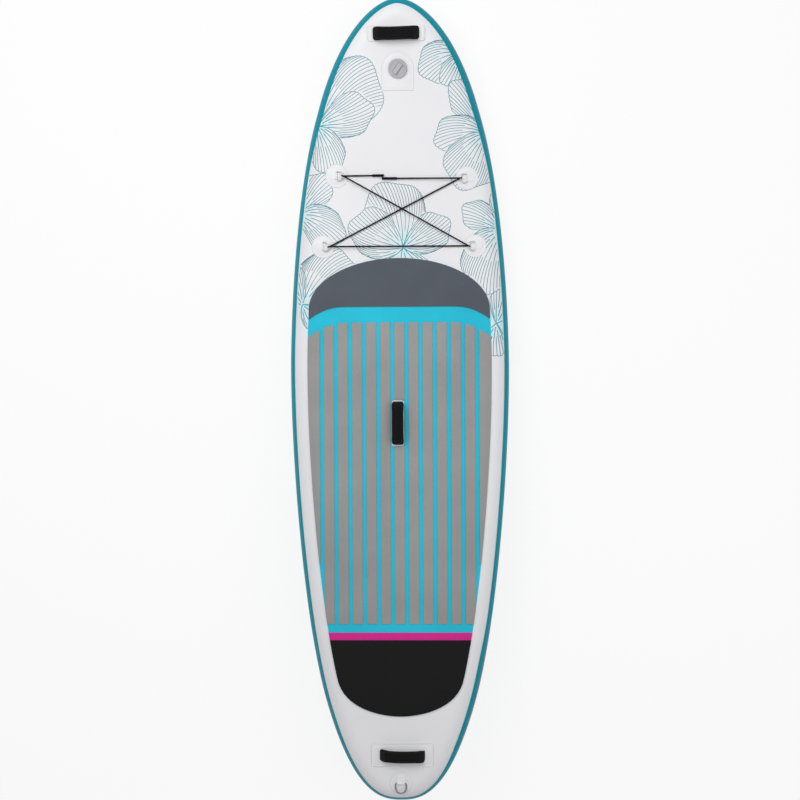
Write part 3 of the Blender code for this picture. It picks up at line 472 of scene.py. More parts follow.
def outline_piece(name, points, low, high, bevel=0.0, segments=2):
    """A flat sheet: a filled circle pulled to an outline, extruded, with its upper edge rounded."""
    piece = added(name, bpy.ops.mesh.primitive_circle_add, vertices=len(points), fill_type="NGON")
    for vertex, (x, y) in zip(piece.data.vertices, points):
        vertex.co = (x, y, low)
    edit(piece)
    bpy.ops.mesh.extrude_region_move(TRANSFORM_OT_translate={"value": (0, 0, high - low)})
    close(piece)
    if bevel:
        edit(piece)
        pick("EDGE", lambda edge: middle(edge).z > high - 1e-6)
        bpy.ops.mesh.bevel(offset=bevel, segments=segments, affect="EDGES")
        close(piece)
    return piece


def sliced(piece, places):
    """Cuts a piece into strips across the board, so that it can bend."""
    edit(piece)
    for place in places:
        bpy.ops.mesh.select_all(action="SELECT")
        bpy.ops.mesh.bisect(plane_co=(0.0, place, 0.0), plane_no=(0.0, 1.0, 0.0))
    return close(piece, tidy=False)


def drape(piece, hull):
    """Lays a flat piece on the deck; heights in the piece are heights over the deck."""
    return reshape(piece, lambda p: Vector((p.x, p.y, hull.height(p.x, p.y) + p.z)))


def deck_strips(piece, hull, spacing=0.012):
    """Bisects a deck sheet across the board where the rocker bends it."""
    ys = [v.co.y for v in piece.data.vertices]
    front, rear = max(ys), min(ys)
    start = max(rear, hull.sizes.lift_start)
    count = int(max(front - start, 0.0) / spacing)
    return sliced(piece, [start + (front - start) * k / (count + 1) for k in range(count + 1)])


def lathe(name, profile, steps):
    """A closed profile of (radius, height) points, spun round Z."""
    piece = added(name, bpy.ops.mesh.primitive_circle_add, vertices=len(profile))
    for vertex, (radius, height) in zip(piece.data.vertices, profile):
        vertex.co = (radius, 0.0, height)
    edit(piece)
    bpy.ops.mesh.spin(steps=steps, angle=2 * math.pi, center=(0, 0, 0), axis=(0, 0, 1))
    return close(piece)


def fillet(corners, radius, steps):
    """A closed profile with its corners rounded."""
    found = []
    count = len(corners)
    for k, corner in enumerate(corners):
        here = Vector(corner)
        back = Vector(corners[k - 1]) - here
        ahead = Vector(corners[(k + 1) % count]) - here
        reach = min(radius, back.length / 2.2, ahead.length / 2.2)
        if here.x < 1e-6 or reach < 1e-5:
            found.append(tuple(here))
            continue
        start = here + back.normalized() * reach
        end = here + ahead.normalized() * reach
        for n in range(steps + 1):
            t = n / steps
            point = (1 - t) ** 2 * start + 2 * t * (1 - t) * here + t * t * end
            found.append(tuple(point))
    return found


def turned(name, corners, radius, bends=4, steps=64):
    """A turned piece: a profile with rounded corners, spun round Z."""
    return lathe(name, fillet(corners, radius, bends), steps)


def carried(name, sections, closed=False):
    """A tube skinned over loops of points, with a UV map in metres along it and round it."""
    mesh = bmesh.new()
    rows = [[mesh.verts.new(point) for point in loop] for loop in sections]
    along = [0.0]
    for first, second in zip(sections, sections[1:] + sections[:1]):
        step = np.mean([(Vector(b) - Vector(a)).length for a, b in zip(first, second)])
        along.append(along[-1] + float(step))
    around = [0.0]
    widest = sections[len(sections) // 2]
    for a, b in zip(widest, widest[1:] + widest[:1]):
        around.append(around[-1] + (Vector(b) - Vector(a)).length)
    layer = mesh.loops.layers.uv.new("UVMap")
    count = len(rows[0])
    pairs = list(zip(range(len(rows)), range(1, len(rows))))
    if closed:
        pairs.append((len(rows) - 1, 0))
    for i, j in pairs:
        end = along[i + 1]
        for k in range(count):
            n = (k + 1) % count
            face = mesh.faces.new((rows[i][k], rows[i][n], rows[j][n], rows[j][k]))
            near, far = around[k], around[k + 1]
            corners = ((along[i], near), (along[i], far), (end, far), (end, near))
            for loop, place in zip(face.loops, corners):
                loop[layer].uv = place
    if not closed:
        mesh.faces.new(rows[0])
        mesh.faces.new(rows[-1])
    bmesh.ops.recalc_face_normals(mesh, faces=mesh.faces)
    data = bpy.data.meshes.new(name)
    mesh.to_mesh(data)
    mesh.free()
    piece = bpy.data.objects.new(name, data)
    bpy.context.scene.collection.objects.link(piece)
    data.shade_smooth()
    return piece


def stacked(name, levels, y=0.0):
    """A solid skinned over outlines at heights, moved along the board."""
    return carried(name, [[Vector((px, py + y, z)) for px, py in outline] for outline, z in levels])


def rounded_route(points, spacing):
    """A smooth curve through points, sampled at a spacing."""
    points = [Vector(p) for p in points]
    dense = [points[0]]
    for k in range(len(points) - 1):
        a = points[max(k - 1, 0)]
        b, c = points[k], points[k + 1]
        d = points[min(k + 2, len(points) - 1)]
        span = (c - b).length
        first = (c - a) / max((c - b).length + (b - a).length, 1e-9) * span
        second = (d - b) / max((d - c).length + (c - b).length, 1e-9) * span
        steps = max(2, int(span / spacing))
        for n in range(1, steps + 1):
            t = n / steps
            ease = 3 * t ** 2 - 2 * t ** 3
            lead, trail = t ** 3 - 2 * t ** 2 + t, t ** 3 - t ** 2
            dense.append((1 - ease) * b + lead * first + ease * c + trail * second)
    return dense


def tube(name, route, radius, steps, closed=False):
    """A round tube along a route, its rings turned as little as may be from one to the next."""
    rings = []
    count = len(route)
    side = None
    for k, here in enumerate(route):
        ahead = route[(k + 1) % count] if closed else route[min(k + 1, count - 1)]
        behind = route[k - 1] if closed else route[max(k - 1, 0)]
        heading = (ahead - behind).normalized()
        if side is None:
            side = heading.orthogonal().normalized()
        side = (side - side.dot(heading) * heading).normalized()
        other = heading.cross(side)
        angles = [2 * math.pi * n / steps for n in range(steps)]
        rings.append([here + radius * (math.cos(a) * side + math.sin(a) * other) for a in angles])
    return carried(name, rings, closed)


def pressed_line(piece, margin):
    """Presses a shallow line into a piece's upper face, along its edge."""
    edit(piece)
    pick("FACE", lambda face: face.normal.z > 0.99)
    bpy.ops.mesh.inset(thickness=margin, depth=0.0)
    bpy.ops.mesh.inset(thickness=0.0009, depth=-0.0004)
    bpy.ops.mesh.inset(thickness=0.0009, depth=0.0004)
    return close(piece)


def glue_bead_and_edge_shade(hull, name, points):
    """A thin grey bead round a patch welded to the deck: partly its glue, partly painted shade along the
    patch's edge.
    """
    route = [Vector((x, y, hull.height(x, y) + 0.0003)) for x, y in points]
    return settle(tube(name + "_weld_bead", route, 0.0008, 8, closed=True), "board", "bead")


class Nodes:
    """Short calls that add nodes to a material or world."""

    def __init__(self, owner):
        owner.use_nodes = True
        self.tree = owner.node_tree

    def link(self, value, socket):
        """Gives a socket a value, or another node's socket."""
        if isinstance(value, bpy.types.NodeSocket):
            self.tree.links.new(value, socket)
        else:
            socket.default_value = value

    def add(self, kind, values=(), **options):
        """A node with options set; a value may be another node's socket."""
        node = self.tree.nodes.new(kind)
        for key, value in options.items():
            setattr(node, key, value)
        for socket, value in dict(values).items():
            self.link(value, node.inputs[socket])
        return node

    def math(self, operation, a, b=0.0):
        """One sum."""
        return self.add("ShaderNodeMath", {0: a, 1: b}, operation=operation).outputs[0]

    def times(self, a, b):
        """Product of two values."""
        return self.math("MULTIPLY", a, b)

    def plus(self, a, b):
        """Sum of two values."""
        return self.math("ADD", a, b)

    def most(self, *values):
        """Greatest of some values."""
        found = values[0]
        for value in values[1:]:
            found = self.math("MAXIMUM", found, value)
        return found

    def seen(self):
        """1 where the camera sees a thing, directly, mirrored or through a clear piece."""
        path = self.add("ShaderNodeLightPath").outputs
        return self.most(path["Is Camera Ray"], path["Is Glossy Ray"], path["Is Transmission Ray"])

    def show(self, first, second, share, output):
        """Sends a mix of two shaders to the output."""
        mix = self.add("ShaderNodeMixShader", {0: share, 1: first, 2: second})
        self.link(mix.outputs["Shader"], self.tree.nodes[output].inputs["Surface"])


class Finish(Nodes):
    """One material: its pattern, its colour and its relief."""

    def __init__(self, name, colour_of, roughness, metallic=0.0, **sockets):
        self.material = bpy.data.materials.new(name)
        super().__init__(self.material)
        self.colour = colour_of
        self.material.diffuse_color = (*colour_of, 1.0)
        self.shader = self.tree.nodes["Principled BSDF"]
        values = {"Base Color": (*colour_of, 1.0), "Roughness": roughness, "Metallic": metallic}
        for socket, value in (values | sockets).items():
            self.link(value, self.shader.inputs[socket.replace("_", " ")])
        self.place = None

    def board(self):
        """Board coordinates of the point that is shaded."""
        if self.place is None:
            source = self.add("ShaderNodeTexCoord").outputs["Object"]
            values = {"Vector": source, "Location": BOARD.to_translation(), "Rotation": BOARD.to_euler()}
            self.place = self.add("ShaderNodeMapping", values, vector_type="TEXTURE").outputs["Vector"]
        return self.place

    def drawn(self, scales):
        """Board coordinates scaled, for marks drawn out along one way."""
        return self.add("ShaderNodeMapping", {"Vector": self.board(), "Scale": scales}).outputs["Vector"]

    def uv(self):
        """The piece's own UV map, in metres."""
        return self.add("ShaderNodeUVMap", uv_map="UVMap").outputs["UV"]

    def attribute(self, name):
        """A value that the piece's mesh carries."""
        return self.add("ShaderNodeAttribute", attribute_name=name).outputs["Fac"]

    def noise(self, vector, scale, detail=2.0, roughness=0.5):
        """Soft random pattern."""
        values = {"Vector": vector, "Scale": scale, "Detail": detail, "Roughness": roughness}
        return self.add("ShaderNodeTexNoise", values).outputs["Fac"]

    def cells(self, vector, scale):
        """Distance to random cells."""
        return self.add("ShaderNodeTexVoronoi", {"Vector": vector, "Scale": scale}).outputs["Distance"]

    def waves(self, vector, scale, direction, distortion=0.0):
        """Even ridges across a direction."""
        values = {"Vector": vector, "Scale": scale, "Distortion": distortion, "Detail Scale": 2.0}
        return self.add("ShaderNodeTexWave", values, bands_direction=direction).outputs["Fac"]

    def spread(self, value, low, high, to_low=0.0, to_high=1.0):
        """Spreads a range of values over another."""
        values = {"Value": value, "From Min": low, "From Max": high, "To Min": to_low, "To Max": to_high}
        return self.add("ShaderNodeMapRange", values, clamp=True).outputs["Result"]

    def blend(self, share, first, second):
        """Mixes two colours."""
        values = [c if isinstance(c, bpy.types.NodeSocket) else (*c, 1.0) for c in (first, second)]
        return self.add("ShaderNodeMix", data_type="RGBA", values={
            "Factor": share, 6: values[0], 7: values[1]}).outputs[2]

    def shades(self, share, low, high):
        """Mixes two shades of the finish's own colour."""
        return self.blend(share, tinted(self.colour, low), tinted(self.colour, high))

    def paint(self, colour_socket):
        """Sets the base colour."""
        self.link(colour_socket, self.shader.inputs["Base Color"])

    def gloss(self, value):
        """Sets the roughness."""
        self.link(value, self.shader.inputs["Roughness"])

    def relief(self, height, distance, strength=1.0):
        """Adds a bump under those already there."""
        values = {"Height": height, "Distance": distance, "Strength": strength}
        normal = self.shader.inputs["Normal"]
        if normal.links:
            values["Normal"] = normal.links[0].from_socket
        self.link(self.add("ShaderNodeBump", values).outputs["Normal"], normal)


def tinted(colour_of, factor):
    """A colour made lighter or darker."""
    return tuple(min(1.0, c * factor) for c in colour_of)


def coated_cloth(name, colour_of, look="plain"):
    """Coated drop-stitch cloth: a satin coat over a fine square weave, dimpled by the threads inside."""
    if look == "banded":
        n = Finish(name, colour_of, 0.50, Specular_IOR_Level=0.08)
    else:
        n = Finish(name, colour_of, 0.42, Specular_IOR_Level=0.35)
    place = n.board()
    weave = n.times(n.waves(place, 520.0, "X"), n.waves(place, 520.0, "Y"))
    broad = n.noise(place, 3.5, 3.0)
    scuffs = n.noise(place, 38.0, 6.0, 0.7)
    base = n.shades(n.spread(broad, 0.25, 0.75), 0.975, 1.015)
    if look == "banded":
        rail = n.attribute("rail_band")
        colours = settings().colours
        lower = n.blend(n.spread(rail, -1.3, -1.1), tuple(colours.white), tuple(colours.magenta))
        base = n.blend(n.spread(rail, -0.1, 0.1), lower, base)
    if look == "washed":
        drift = n.spread(n.noise(place, 16.0, 2.0), 0.30, 0.62, 0.10, 0.42)
        base = n.blend(n.times(root_glow(n, place), drift), base, (0.36, 0.76, 0.80))
    n.paint(n.blend(n.times(n.spread(scuffs, 0.62, 0.80), 0.10), base, tinted(colour_of, 0.72)))
    n.gloss(n.spread(n.plus(scuffs, n.times(broad, 0.4)), 0.45, 1.05, 0.34, 0.52))
    n.relief(weave, 0.00004, 0.5)
    n.relief(n.cells(place, 210.0), 0.00010, 0.25)
    n.relief(broad, 0.0010, 0.15)
    return n.material


def root_glow(n, place):
    """Share of the wash of colour that lies round the root of each of the print's sprays."""
    flat = n.add("ShaderNodeVectorMath", {0: place, 1: (1.0, 1.0, 0.0)}, operation="MULTIPLY").outputs[0]
    glows = []
    for root in SPRAYS:
        gap = n.add("ShaderNodeVectorMath", {0: flat, 1: (*root, 0.0)}, operation="DISTANCE")
        near = n.spread(gap.outputs["Value"], 0.0, 0.16, 1.0, 0.0)
        glows.append(n.times(near, near))
    return n.most(*glows)


def foam(name, colour_of):
    """Closed-cell deck foam: matt, pricked with fine pores and brushed by sanding."""
    n = Finish(name, colour_of, 0.86, Specular_IOR_Level=0.18)
    place = n.board()
    speckle = n.noise(place, 420.0, 4.0, 0.65)
    brush = n.noise(n.drawn((900.0, 60.0, 200.0)), 1.0, 3.0)
    tone = n.plus(n.times(speckle, 0.45), n.times(n.noise(place, 6.0, 3.0), 0.30))
    base = n.shades(n.spread(n.plus(tone, n.times(brush, 0.125)), 0.30, 0.62), 0.86, 1.13)
    worn = n.spread(n.noise(place, 24.0, 5.0, 0.7), 0.60, 0.82)
    n.paint(n.blend(n.times(worn, 0.16), base, tinted(colour_of, 1.35)))
    n.gloss(n.spread(speckle, 0.3, 0.7, 0.78, 0.94))
    n.relief(n.noise(place, 1500.0, 2.0), 0.00005, 0.6)
    n.relief(n.cells(place, 900.0), 0.00012, 0.5)
    n.relief(brush, 0.00008, 0.125)
    return n.material


def knitted(name, colour_of):
    """Neoprene faced with knitted cloth: soft sheen and fine ribs of loops, with painted highlight on the
    loops and painted shade between them.
    """
    n = Finish(name, colour_of, 0.84, Specular_IOR_Level=0.10, Sheen_Weight=0.02, Sheen_Roughness=0.5)
    place = n.board()
    knit = n.times(n.waves(n.uv(), 330.0, "Y"), n.waves(n.uv(), 420.0, "X", 1.2))
    fuzz = n.noise(place, 900.0, 3.0)
    # Painted highlight on the knit's loops, painted shade between them
    base = n.shades(n.spread(n.plus(knit, fuzz), 0.2, 1.3), 0.4, 1.2)
    lint = n.spread(n.noise(place, 140.0, 4.0, 0.7), 0.66, 0.8)
    n.paint(n.blend(n.times(lint, 0.04), base, (0.06, 0.06, 0.06)))
    n.gloss(n.spread(fuzz, 0.3, 0.7, 0.72, 0.90))
    n.relief(knit, 0.00022, 0.7)
    n.relief(n.noise(place, 60.0, 2.0), 0.0006, 0.25)
    return n.material


def woven(name, colour_of, across=260.0, along=190.0):
    """Flat webbing: two sets of yarns that pass over and under, with painted highlight where a yarn passes
    over and painted shade where it dips under.
    """
    n = Finish(name, colour_of, 0.62, Specular_IOR_Level=0.45)
    warp = n.waves(n.uv(), across, "Y")
    weft = n.waves(n.uv(), along, "X")
    under = n.times(n.math("SUBTRACT", 1.0, warp), n.math("SUBTRACT", 1.0, weft))
    over = n.most(n.times(warp, weft), under)
    fuzz = n.noise(n.board(), 1400.0, 2.0)
    # Painted highlight on the yarns that pass over, painted shade where they dip under
    n.paint(n.shades(n.spread(n.plus(n.times(over, 0.7), n.times(fuzz, 0.3)), 0.1, 0.8), 0.6, 2.2))
    n.gloss(n.spread(fuzz, 0.3, 0.7, 0.5, 0.75))
    n.relief(over, 0.00030, 0.8)
    return n.material


def braided(name, colour_of):
    """Braided sheath of an elastic cord: two sets of strands wound against each other, with painted
    highlight on their crests and painted shade between them.
    """
    pitch, strands, girth = 0.0034, 8.0, 0.01728
    n = Finish(name, colour_of, 0.66, Specular_IOR_Level=0.08)
    split = n.add("ShaderNodeSeparateXYZ", {"Vector": n.uv()})
    along = n.times(split.outputs["X"], 1.0 / pitch)
    round_it = n.times(split.outputs["Y"], strands / girth / 2)
    over = n.most(*(n.math("SINE", n.times(n.math(way, along, round_it), 2 * math.pi))
                    for way in ("ADD", "SUBTRACT")))
    fuzz = n.noise(n.board(), 2500.0, 2.0)
    # Painted highlight on the strands' crests, painted shade in the grooves between them
    n.paint(n.shades(n.spread(n.plus(over, fuzz), -0.2, 1.6), 0.4, 1.5))
    n.gloss(n.spread(fuzz, 0.3, 0.7, 0.50, 0.72))
    n.relief(over, 0.00025, 0.8)
    return n.material


def moulded(name, colour_of, roughness=0.42):
    """Moulded plastic: faint flow marks, a fine spark-eroded grain and handling marks."""
    n = Finish(name, colour_of, roughness)
    place = n.board()
    fine = n.noise(place, 1900.0, 2.0)
    flow = n.noise(place, 28.0, 3.0, 0.6)
    marks = n.spread(n.noise(place, 130.0, 6.0, 0.75), 0.58, 0.76)
    base = n.shades(n.spread(flow, 0.3, 0.7), 0.93, 1.07)
    n.paint(n.blend(n.times(marks, 0.15), base, tinted(colour_of, 1.45)))
    n.gloss(n.spread(n.plus(fine, marks), 0.3, 1.4, roughness - 0.08, roughness + 0.14))
    n.relief(fine, 0.00004, 0.6)
    n.relief(flow, 0.0003, 0.08)
    return n.material


def metal(name, colour_of, roughness=0.20):
    """Polished or drawn metal with hairline scratches and faint stains."""
    n = Finish(name, colour_of, roughness, 1.0)
    hair = n.noise(n.drawn((1800.0, 90.0, 900.0)), 1.0, 4.0, 0.7)
    stain = n.noise(n.board(), 260.0, 4.0, 0.6)
    n.paint(n.shades(n.spread(stain, 0.35, 0.75), 1.0, 0.78))
    n.gloss(n.spread(n.plus(hair, n.times(stain, 0.5)), 0.4, 1.1, roughness - 0.06, roughness + 0.16))
    n.relief(hair, 0.00002, 0.5)
    return n.material


def rubber(name, colour_of):
    """Moulded rubber: matt with a dusty bloom."""
    n = Finish(name, colour_of, 0.78, Specular_IOR_Level=0.35)
    bloom = n.noise(n.board(), 180.0, 5.0, 0.7)
    n.paint(n.shades(n.spread(bloom, 0.45, 0.8), 1.0, 2.6))
    n.gloss(n.spread(bloom, 0.3, 0.7, 0.68, 0.88))
    n.relief(n.noise(n.board(), 2400.0, 1.0), 0.00003, 0.7)
    return n.material


def threads(name, colour_of):
    """Drop-stitch core: thousands of yarns that stand between two cloths, with painted shade in the gaps
    between them.
    """
    n = Finish(name, colour_of, 0.88, Sheen_Weight=0.1)
    yarn = n.times(n.waves(n.board(), 120.0, "X", 0.6), n.waves(n.board(), 120.0, "Y", 0.6))
    fuzz = n.noise(n.board(), 500.0, 3.0)
    # Painted shade in the gaps between the yarns, lighter on their tops
    n.paint(n.shades(n.plus(yarn, n.times(fuzz, 0.2)), 0.55, 1.0))
    n.gloss(n.spread(fuzz, 0.3, 0.7, 0.80, 0.95))
    n.relief(yarn, 0.0010, 0.8)
    return n.material


def ink(name, colour_of):
    """Printed ink: bright at a fan's root, a little broken by the cloth's grain, as satin as the cloth."""
    n = Finish(name, colour_of, 0.42, Specular_IOR_Level=0.35)
    place = n.board()
    broken = n.noise(place, 1300.0, 3.0, 0.7)
    base = n.shades(n.spread(n.noise(place, 7.0, 2.0), 0.3, 0.7), 0.85, 1.25)
    base = n.blend(n.spread(n.attribute("ink_depth"), 0.15, 0.75), base, (0.010, 0.400, 0.500))
    n.paint(n.blend(n.spread(broken, 0.58, 0.80, 0.0, 0.35), base, tuple(settings().colours.white)))
    n.gloss(n.spread(broken, 0.3, 0.7, 0.36, 0.48))
    n.relief(n.cells(place, 210.0), 0.00010, 0.25)
    return n.material


# Each finish: what makes it, the material's name, its colour or the setting that holds it, and more values
FINISHES = {
    "white_pvc": (coated_cloth, "white_pvc_cloth", "white"),
    "printed_pvc": (coated_cloth, "printed_pvc_cloth", "white", "washed"),
    # Grey bead round the patches: partly the weld's glue, partly painted shade along each patch's edge
    "bead": (coated_cloth, "weld_bead_glue", (0.58, 0.58, 0.61)),
    "teal_pvc": (coated_cloth, "teal_pvc_cloth", "teal"),
    "rail_pvc": (coated_cloth, "rail_tape_cloth", "teal", "banded"),
    "cyan_foam": (foam, "cyan_deck_foam", "cyan"),
    "grey_foam": (foam, "grey_deck_foam", "grey"),
    "charcoal_foam": (foam, "charcoal_deck_foam", "charcoal"),
    "magenta_foam": (foam, "magenta_deck_foam", "magenta"),
    "black_foam": (foam, "black_deck_foam", "black"),
    "neoprene": (knitted, "knitted_neoprene", "black"),
    "webbing": (woven, "woven_webbing", (0.013, 0.013, 0.014)),
    "thread": (woven, "sewing_thread", (0.030, 0.030, 0.032), 900.0, 900.0),
    "grey_plastic": (moulded, "moulded_grey_plastic", "valve"),
    "steel": (metal, "polished_steel", (0.50, 0.50, 0.485)),
    "dull_steel": (metal, "dull_steel", (0.17, 0.17, 0.165)),
    "black_rubber": (rubber, "moulded_black_rubber", (0.016, 0.016, 0.016)),
    "black_cord": (braided, "braided_black_cord", (0.007, 0.007, 0.008)),
    "fin_plastic": (moulded, "moulded_fin_plastic", (0.013, 0.014, 0.016), 0.36),
    "brass": (metal, "turned_brass", (0.62, 0.42, 0.16), 0.26),
    "drop_stitch": (threads, "drop_stitch_threads", (0.78, 0.76, 0.68)),
    "ink": (ink, "printed_ink", "ink"),
}
# Finishes already made, by name
MADE = {}


def finish(name):
    """A named finish, made once from the colours that the user has set."""
    if name not in MADE:
        maker, label, tint, *more = FINISHES[name]
        if isinstance(tint, str):
            tint = tuple(getattr(settings().colours, tint))
        MADE[name] = maker(label, tint, *more)
    return MADE[name]


def wrapped(name, columns, rows, rule):
    """A grid pulled to a surface: rule gives the place for shares across and along it."""
    piece = added(name, bpy.ops.mesh.primitive_grid_add, x_subdivisions=columns, y_subdivisions=rows)
    reshape(piece, lambda p: rule((p.x + 1) / 2, (1 - p.y) / 2))
    edit(piece)
    return close(piece)


def face_towards(piece, direction):
    """Turns an open sheet round if most of it faces the other way."""
    total = sum((p.normal * p.area for p in piece.data.polygons), Vector())
    if total.dot(Vector(direction)) < 0:
        edit(piece)
        bpy.ops.mesh.flip_normals()
        close(piece, tidy=False)
    return piece


def build_skin(hull, name, sign):
    """Deck or belly cloth: flat across, rounded down at the rails, with a thin wall."""
    flat, rail = 8, 10
    last = SEAM_EDGE + 0.6
    side = hull.side(hull.tape)
    reach = flat + rail

    def rule(u, v):
        column = round((2 * u - 1) * reach)
        (place, normal) = side[round(v * (len(side) - 1))]
        part = min(abs(column), flat) / flat
        turn = math.radians(90.0 - (90.0 - last) * max(abs(column) - flat, 0) / rail)
        out = hull.half * math.cos(turn) if abs(column) > flat else 0.0
        x = place.x * part + normal.x * out
        y = place.y + normal.y * out
        height = hull.half + sign * hull.half * math.sin(turn) + hull.lift(y)
        return Vector((math.copysign(x, column) if column else 0.0, y, height))

    piece = wrapped(name, 2 * reach, len(side) - 1, rule)
    face_towards(piece, (0, 0, sign))
    return apply(piece, "SOLIDIFY", thickness=hull.sizes.skin, offset=-1.0)


def step(value, low, high):
    """Rises smoothly from 0 at low to 1 at high."""
    share = min(max((value - low) / (high - low), 0.0), 1.0)
    return share * share * (3 - 2 * share)


def rail_stripe(y):
    """Angle on the rail, in degrees, down to which the tape is teal."""
    return -14.0 + 28.0 * step(y, 0.55, 1.0) + 32.0 * step(y, -0.62, -0.92) * step(y, -1.42, -1.20)


def tape_rise(x, y):
    """Degrees by which the tape reaches further over the deck at the nose and the right quarter."""
    nose = 9.0 * step(y, 0.80, 1.08) + 3.0 * step(y, 1.25, 1.44)
    return nose + 6.0 * step(x, 0.0, 0.2) * step(y, -0.75, -0.95) * step(y, -1.36, -1.20)


class BOARD_OT_deck_skin(Operator):
    """Models the white deck cloth, with the valve's hole"""
    bl_idname = "paddle_board.deck_skin"
    bl_label = "Deck skin"

    def execute(self, context):
        hull = Hull()
        valve = settings().valve
        piece = build_skin(hull, "deck_cloth", 1)
        hole = drum("hole", valve.neck + RUN, 0.02, sides=64)
        cut(piece, put(hole, hull.fitting(0.0, valve.place)))
        smooth(piece, 30.0)
        settle(piece, "board", "printed_pvc", "deck_skin")
        return {"FINISHED"}


class BOARD_OT_rail(Operator):
    """Models the belly cloth, the inner side wall and the rail tape"""
    bl_idname = "paddle_board.rail"
    bl_label = "Belly and rail"

    def execute(self, context):
        hull = Hull()
        belly = smooth(build_skin(hull, "belly_cloth", -1), 30.0)
        settle(belly, "board", "teal_pvc", "bottom_skin")
        side = hull.side(hull.tape)
        around = side + [(Vector((-p.x, p.y)), Vector((-n.x, n.y))) for p, n in reversed(side[1:-1])]
        around.append(around[0])
        walls = (
            ("rail_tape_band", hull.tape, hull.sizes.tape, TAPE_EDGE, 26, "rail_pvc", "rail_tape"),
            ("side_wall", hull.half, hull.sizes.skin, SEAM_EDGE, 12, "teal_pvc", "sidewall_inner"),
        )
        for name, radius, wall, edge, steps, finish_of, node in walls:
            def rule(u, v):
                place, normal = around[round(v * (len(around) - 1))]
                column = round(u * (2 * steps + 2)) % (2 * steps + 2)
                inner = column > steps
                share = (2 * steps + 1 - column if inner else column) / steps
                rise = tape_rise(place.x, place.y) if edge == TAPE_EDGE else 0.0
                angle = math.radians(edge * (1 - 2 * share) + rise * (1 - share))
                edge_round = 0.0003 if share in (0.0, 1.0) else 0.0
                reach = radius - (wall if inner else edge_round)
                x = place.x + normal.x * reach * math.cos(angle)
                y = place.y + normal.y * reach * math.cos(angle)
                return Vector((x, y, hull.half + reach * math.sin(angle) + hull.lift(y)))
            piece = wrapped(name, 2 * steps + 2, len(around) - 1, rule)
            if node == "rail_tape":
                band = piece.data.attributes.new("rail_band", "FLOAT", "POINT")
                for vertex, value in zip(piece.data.vertices, band.data):
                    up = (vertex.co.z - hull.half - hull.lift(vertex.co.y)) / radius
                    angle = math.degrees(math.asin(min(max(up, -1.0), 1.0)))
                    value.value = (angle - rail_stripe(vertex.co.y)) / BAND_DEGREES
            smooth(piece, 30.0)
            settle(piece, "board", finish_of, node)
        return {"FINISHED"}


# The print: the root of each spray and its fans (length, spread, heading, bend), angles in degrees
SPRAYS = {
    (0.232, 1.262): ((0.17, 74, 196, 26), (0.14, 58, 250, -12)),
    (-0.292, 1.010): ((0.29, 84, 64, -48), (0.21, 62, 8, 22), (0.18, 60, -62, -20)),
    (0.318, 0.985): ((0.21, 60, 112, 22), (0.19, 64, 176, 30), (0.22, 78, -112, -16)),
    (-0.365, 0.700): ((0.17, 60, 58, -20), (0.19, 70, -18, -34)),
    (0.015, 0.575): ((0.16, 52, -62, 20), (0.24, 92, 94, 24), (0.21, 74, 164, -30), (0.19, 62, 20, 24)),
    (0.372, 0.640): ((0.16, 58, 140, 30), (0.24, 84, -118, 26), (0.15, 52, 84, 14)),
    (-0.352, 0.372): ((0.25, 80, 62, -44), (0.17, 56, 118, -10), (0.15, 60, -52, 20)),
    (0.352, 0.300): ((0.13, 56, 70, 18), (0.12, 54, -96, 12)),
}

# Bare deck under the nose handle
NOSE_BARE = [(-0.105, 1.285), (0.105, 1.285), (0.105, 1.350), (-0.105, 1.350)]
# How far the print reaches over the rail, the least pitch of its lines, and the reach of a root's deep ink
PRINT_REACH = 0.0545
LINE_PITCH = 0.0044
ROOT_REACH = 0.085


def fan_line(root, fan, share, steps=20):
    """A line from a fan's root to its outer edge; share is 0 in its middle and 1 or -1 at its sides."""
    length, spread, heading, bend = fan
    reach = length * (1 - 0.34 * share * share) * (1 + 0.035 * math.sin(8.0 * share + heading))
    x, y = root
    points = [(x, y)]
    for k in range(steps):
        t = (k + 0.5) / steps
        angle = math.radians(heading + share * spread * (0.92 - 0.78 * t) + bend * t * t)
        x += reach / steps * math.cos(angle)
        y += reach / steps * math.sin(angle)
        points.append((x, y))
    return points


def in_outline(outline, point):
    """Whether a point lies in a closed outline."""
    x, y = point
    if not min(p[0] for p in outline) < x < max(p[0] for p in outline):
        return False
    crossed = False
    for (ax, ay), (bx, by) in zip(outline, outline[1:] + outline[:1]):
        if (ay > y) != (by > y) and x < ax + (y - ay) / (by - ay) * (bx - ax):
            crossed = not crossed
    return crossed


def ribbon(mesh, hull, line, half, depth, root, even):
    """A closed thin strip along a run of points, deep in colour near the fan's root."""
    if len(line) < 3:
        return
    fine = [line[0]]
    for (ax, ay), (bx, by) in zip(line, line[1:]):
        parts = 3 if hull.outside(bx, by) > -0.008 else 1
        fine += [(ax + (bx - ax) * k / parts, ay + (by - ay) * k / parts) for k in range(1, parts + 1)]
    line = fine
    rows = []
    count = len(line)
    for k, (x, y) in enumerate(line):
        ahead, behind = line[min(k + 1, count - 1)], line[max(k - 1, 0)]
        along = Vector((ahead[0] - behind[0], ahead[1] - behind[1])).normalized()
        near = max(0.0, 1 - (Vector((x, y)) - root).length / ROOT_REACH)
        reach = half * (0.8 if even else (0.35 if k == 0 else 0.72 + 0.75 * near))
        row = []
        top = 0.00012 if hull.outside(x, y) < -0.004 else 0.00030
        for side, lift in ((1, top), (-1, top), (-1, -0.0001), (1, -0.0001)):
            px, py = x - side * along.y * reach, y + side * along.x * reach
            vertex = mesh.verts.new((px, py, hull.height(px, py) + lift))
            vertex[depth] = near
            row.append(vertex)
        rows.append(row)
    for first, second in zip(rows, rows[1:]):
        for k in range(4):
            n = (k + 1) % 4
            mesh.faces.new((first[k], second[k], second[n], first[n]))
    mesh.faces.new(rows[0])
    mesh.faces.new(rows[-1][::-1])


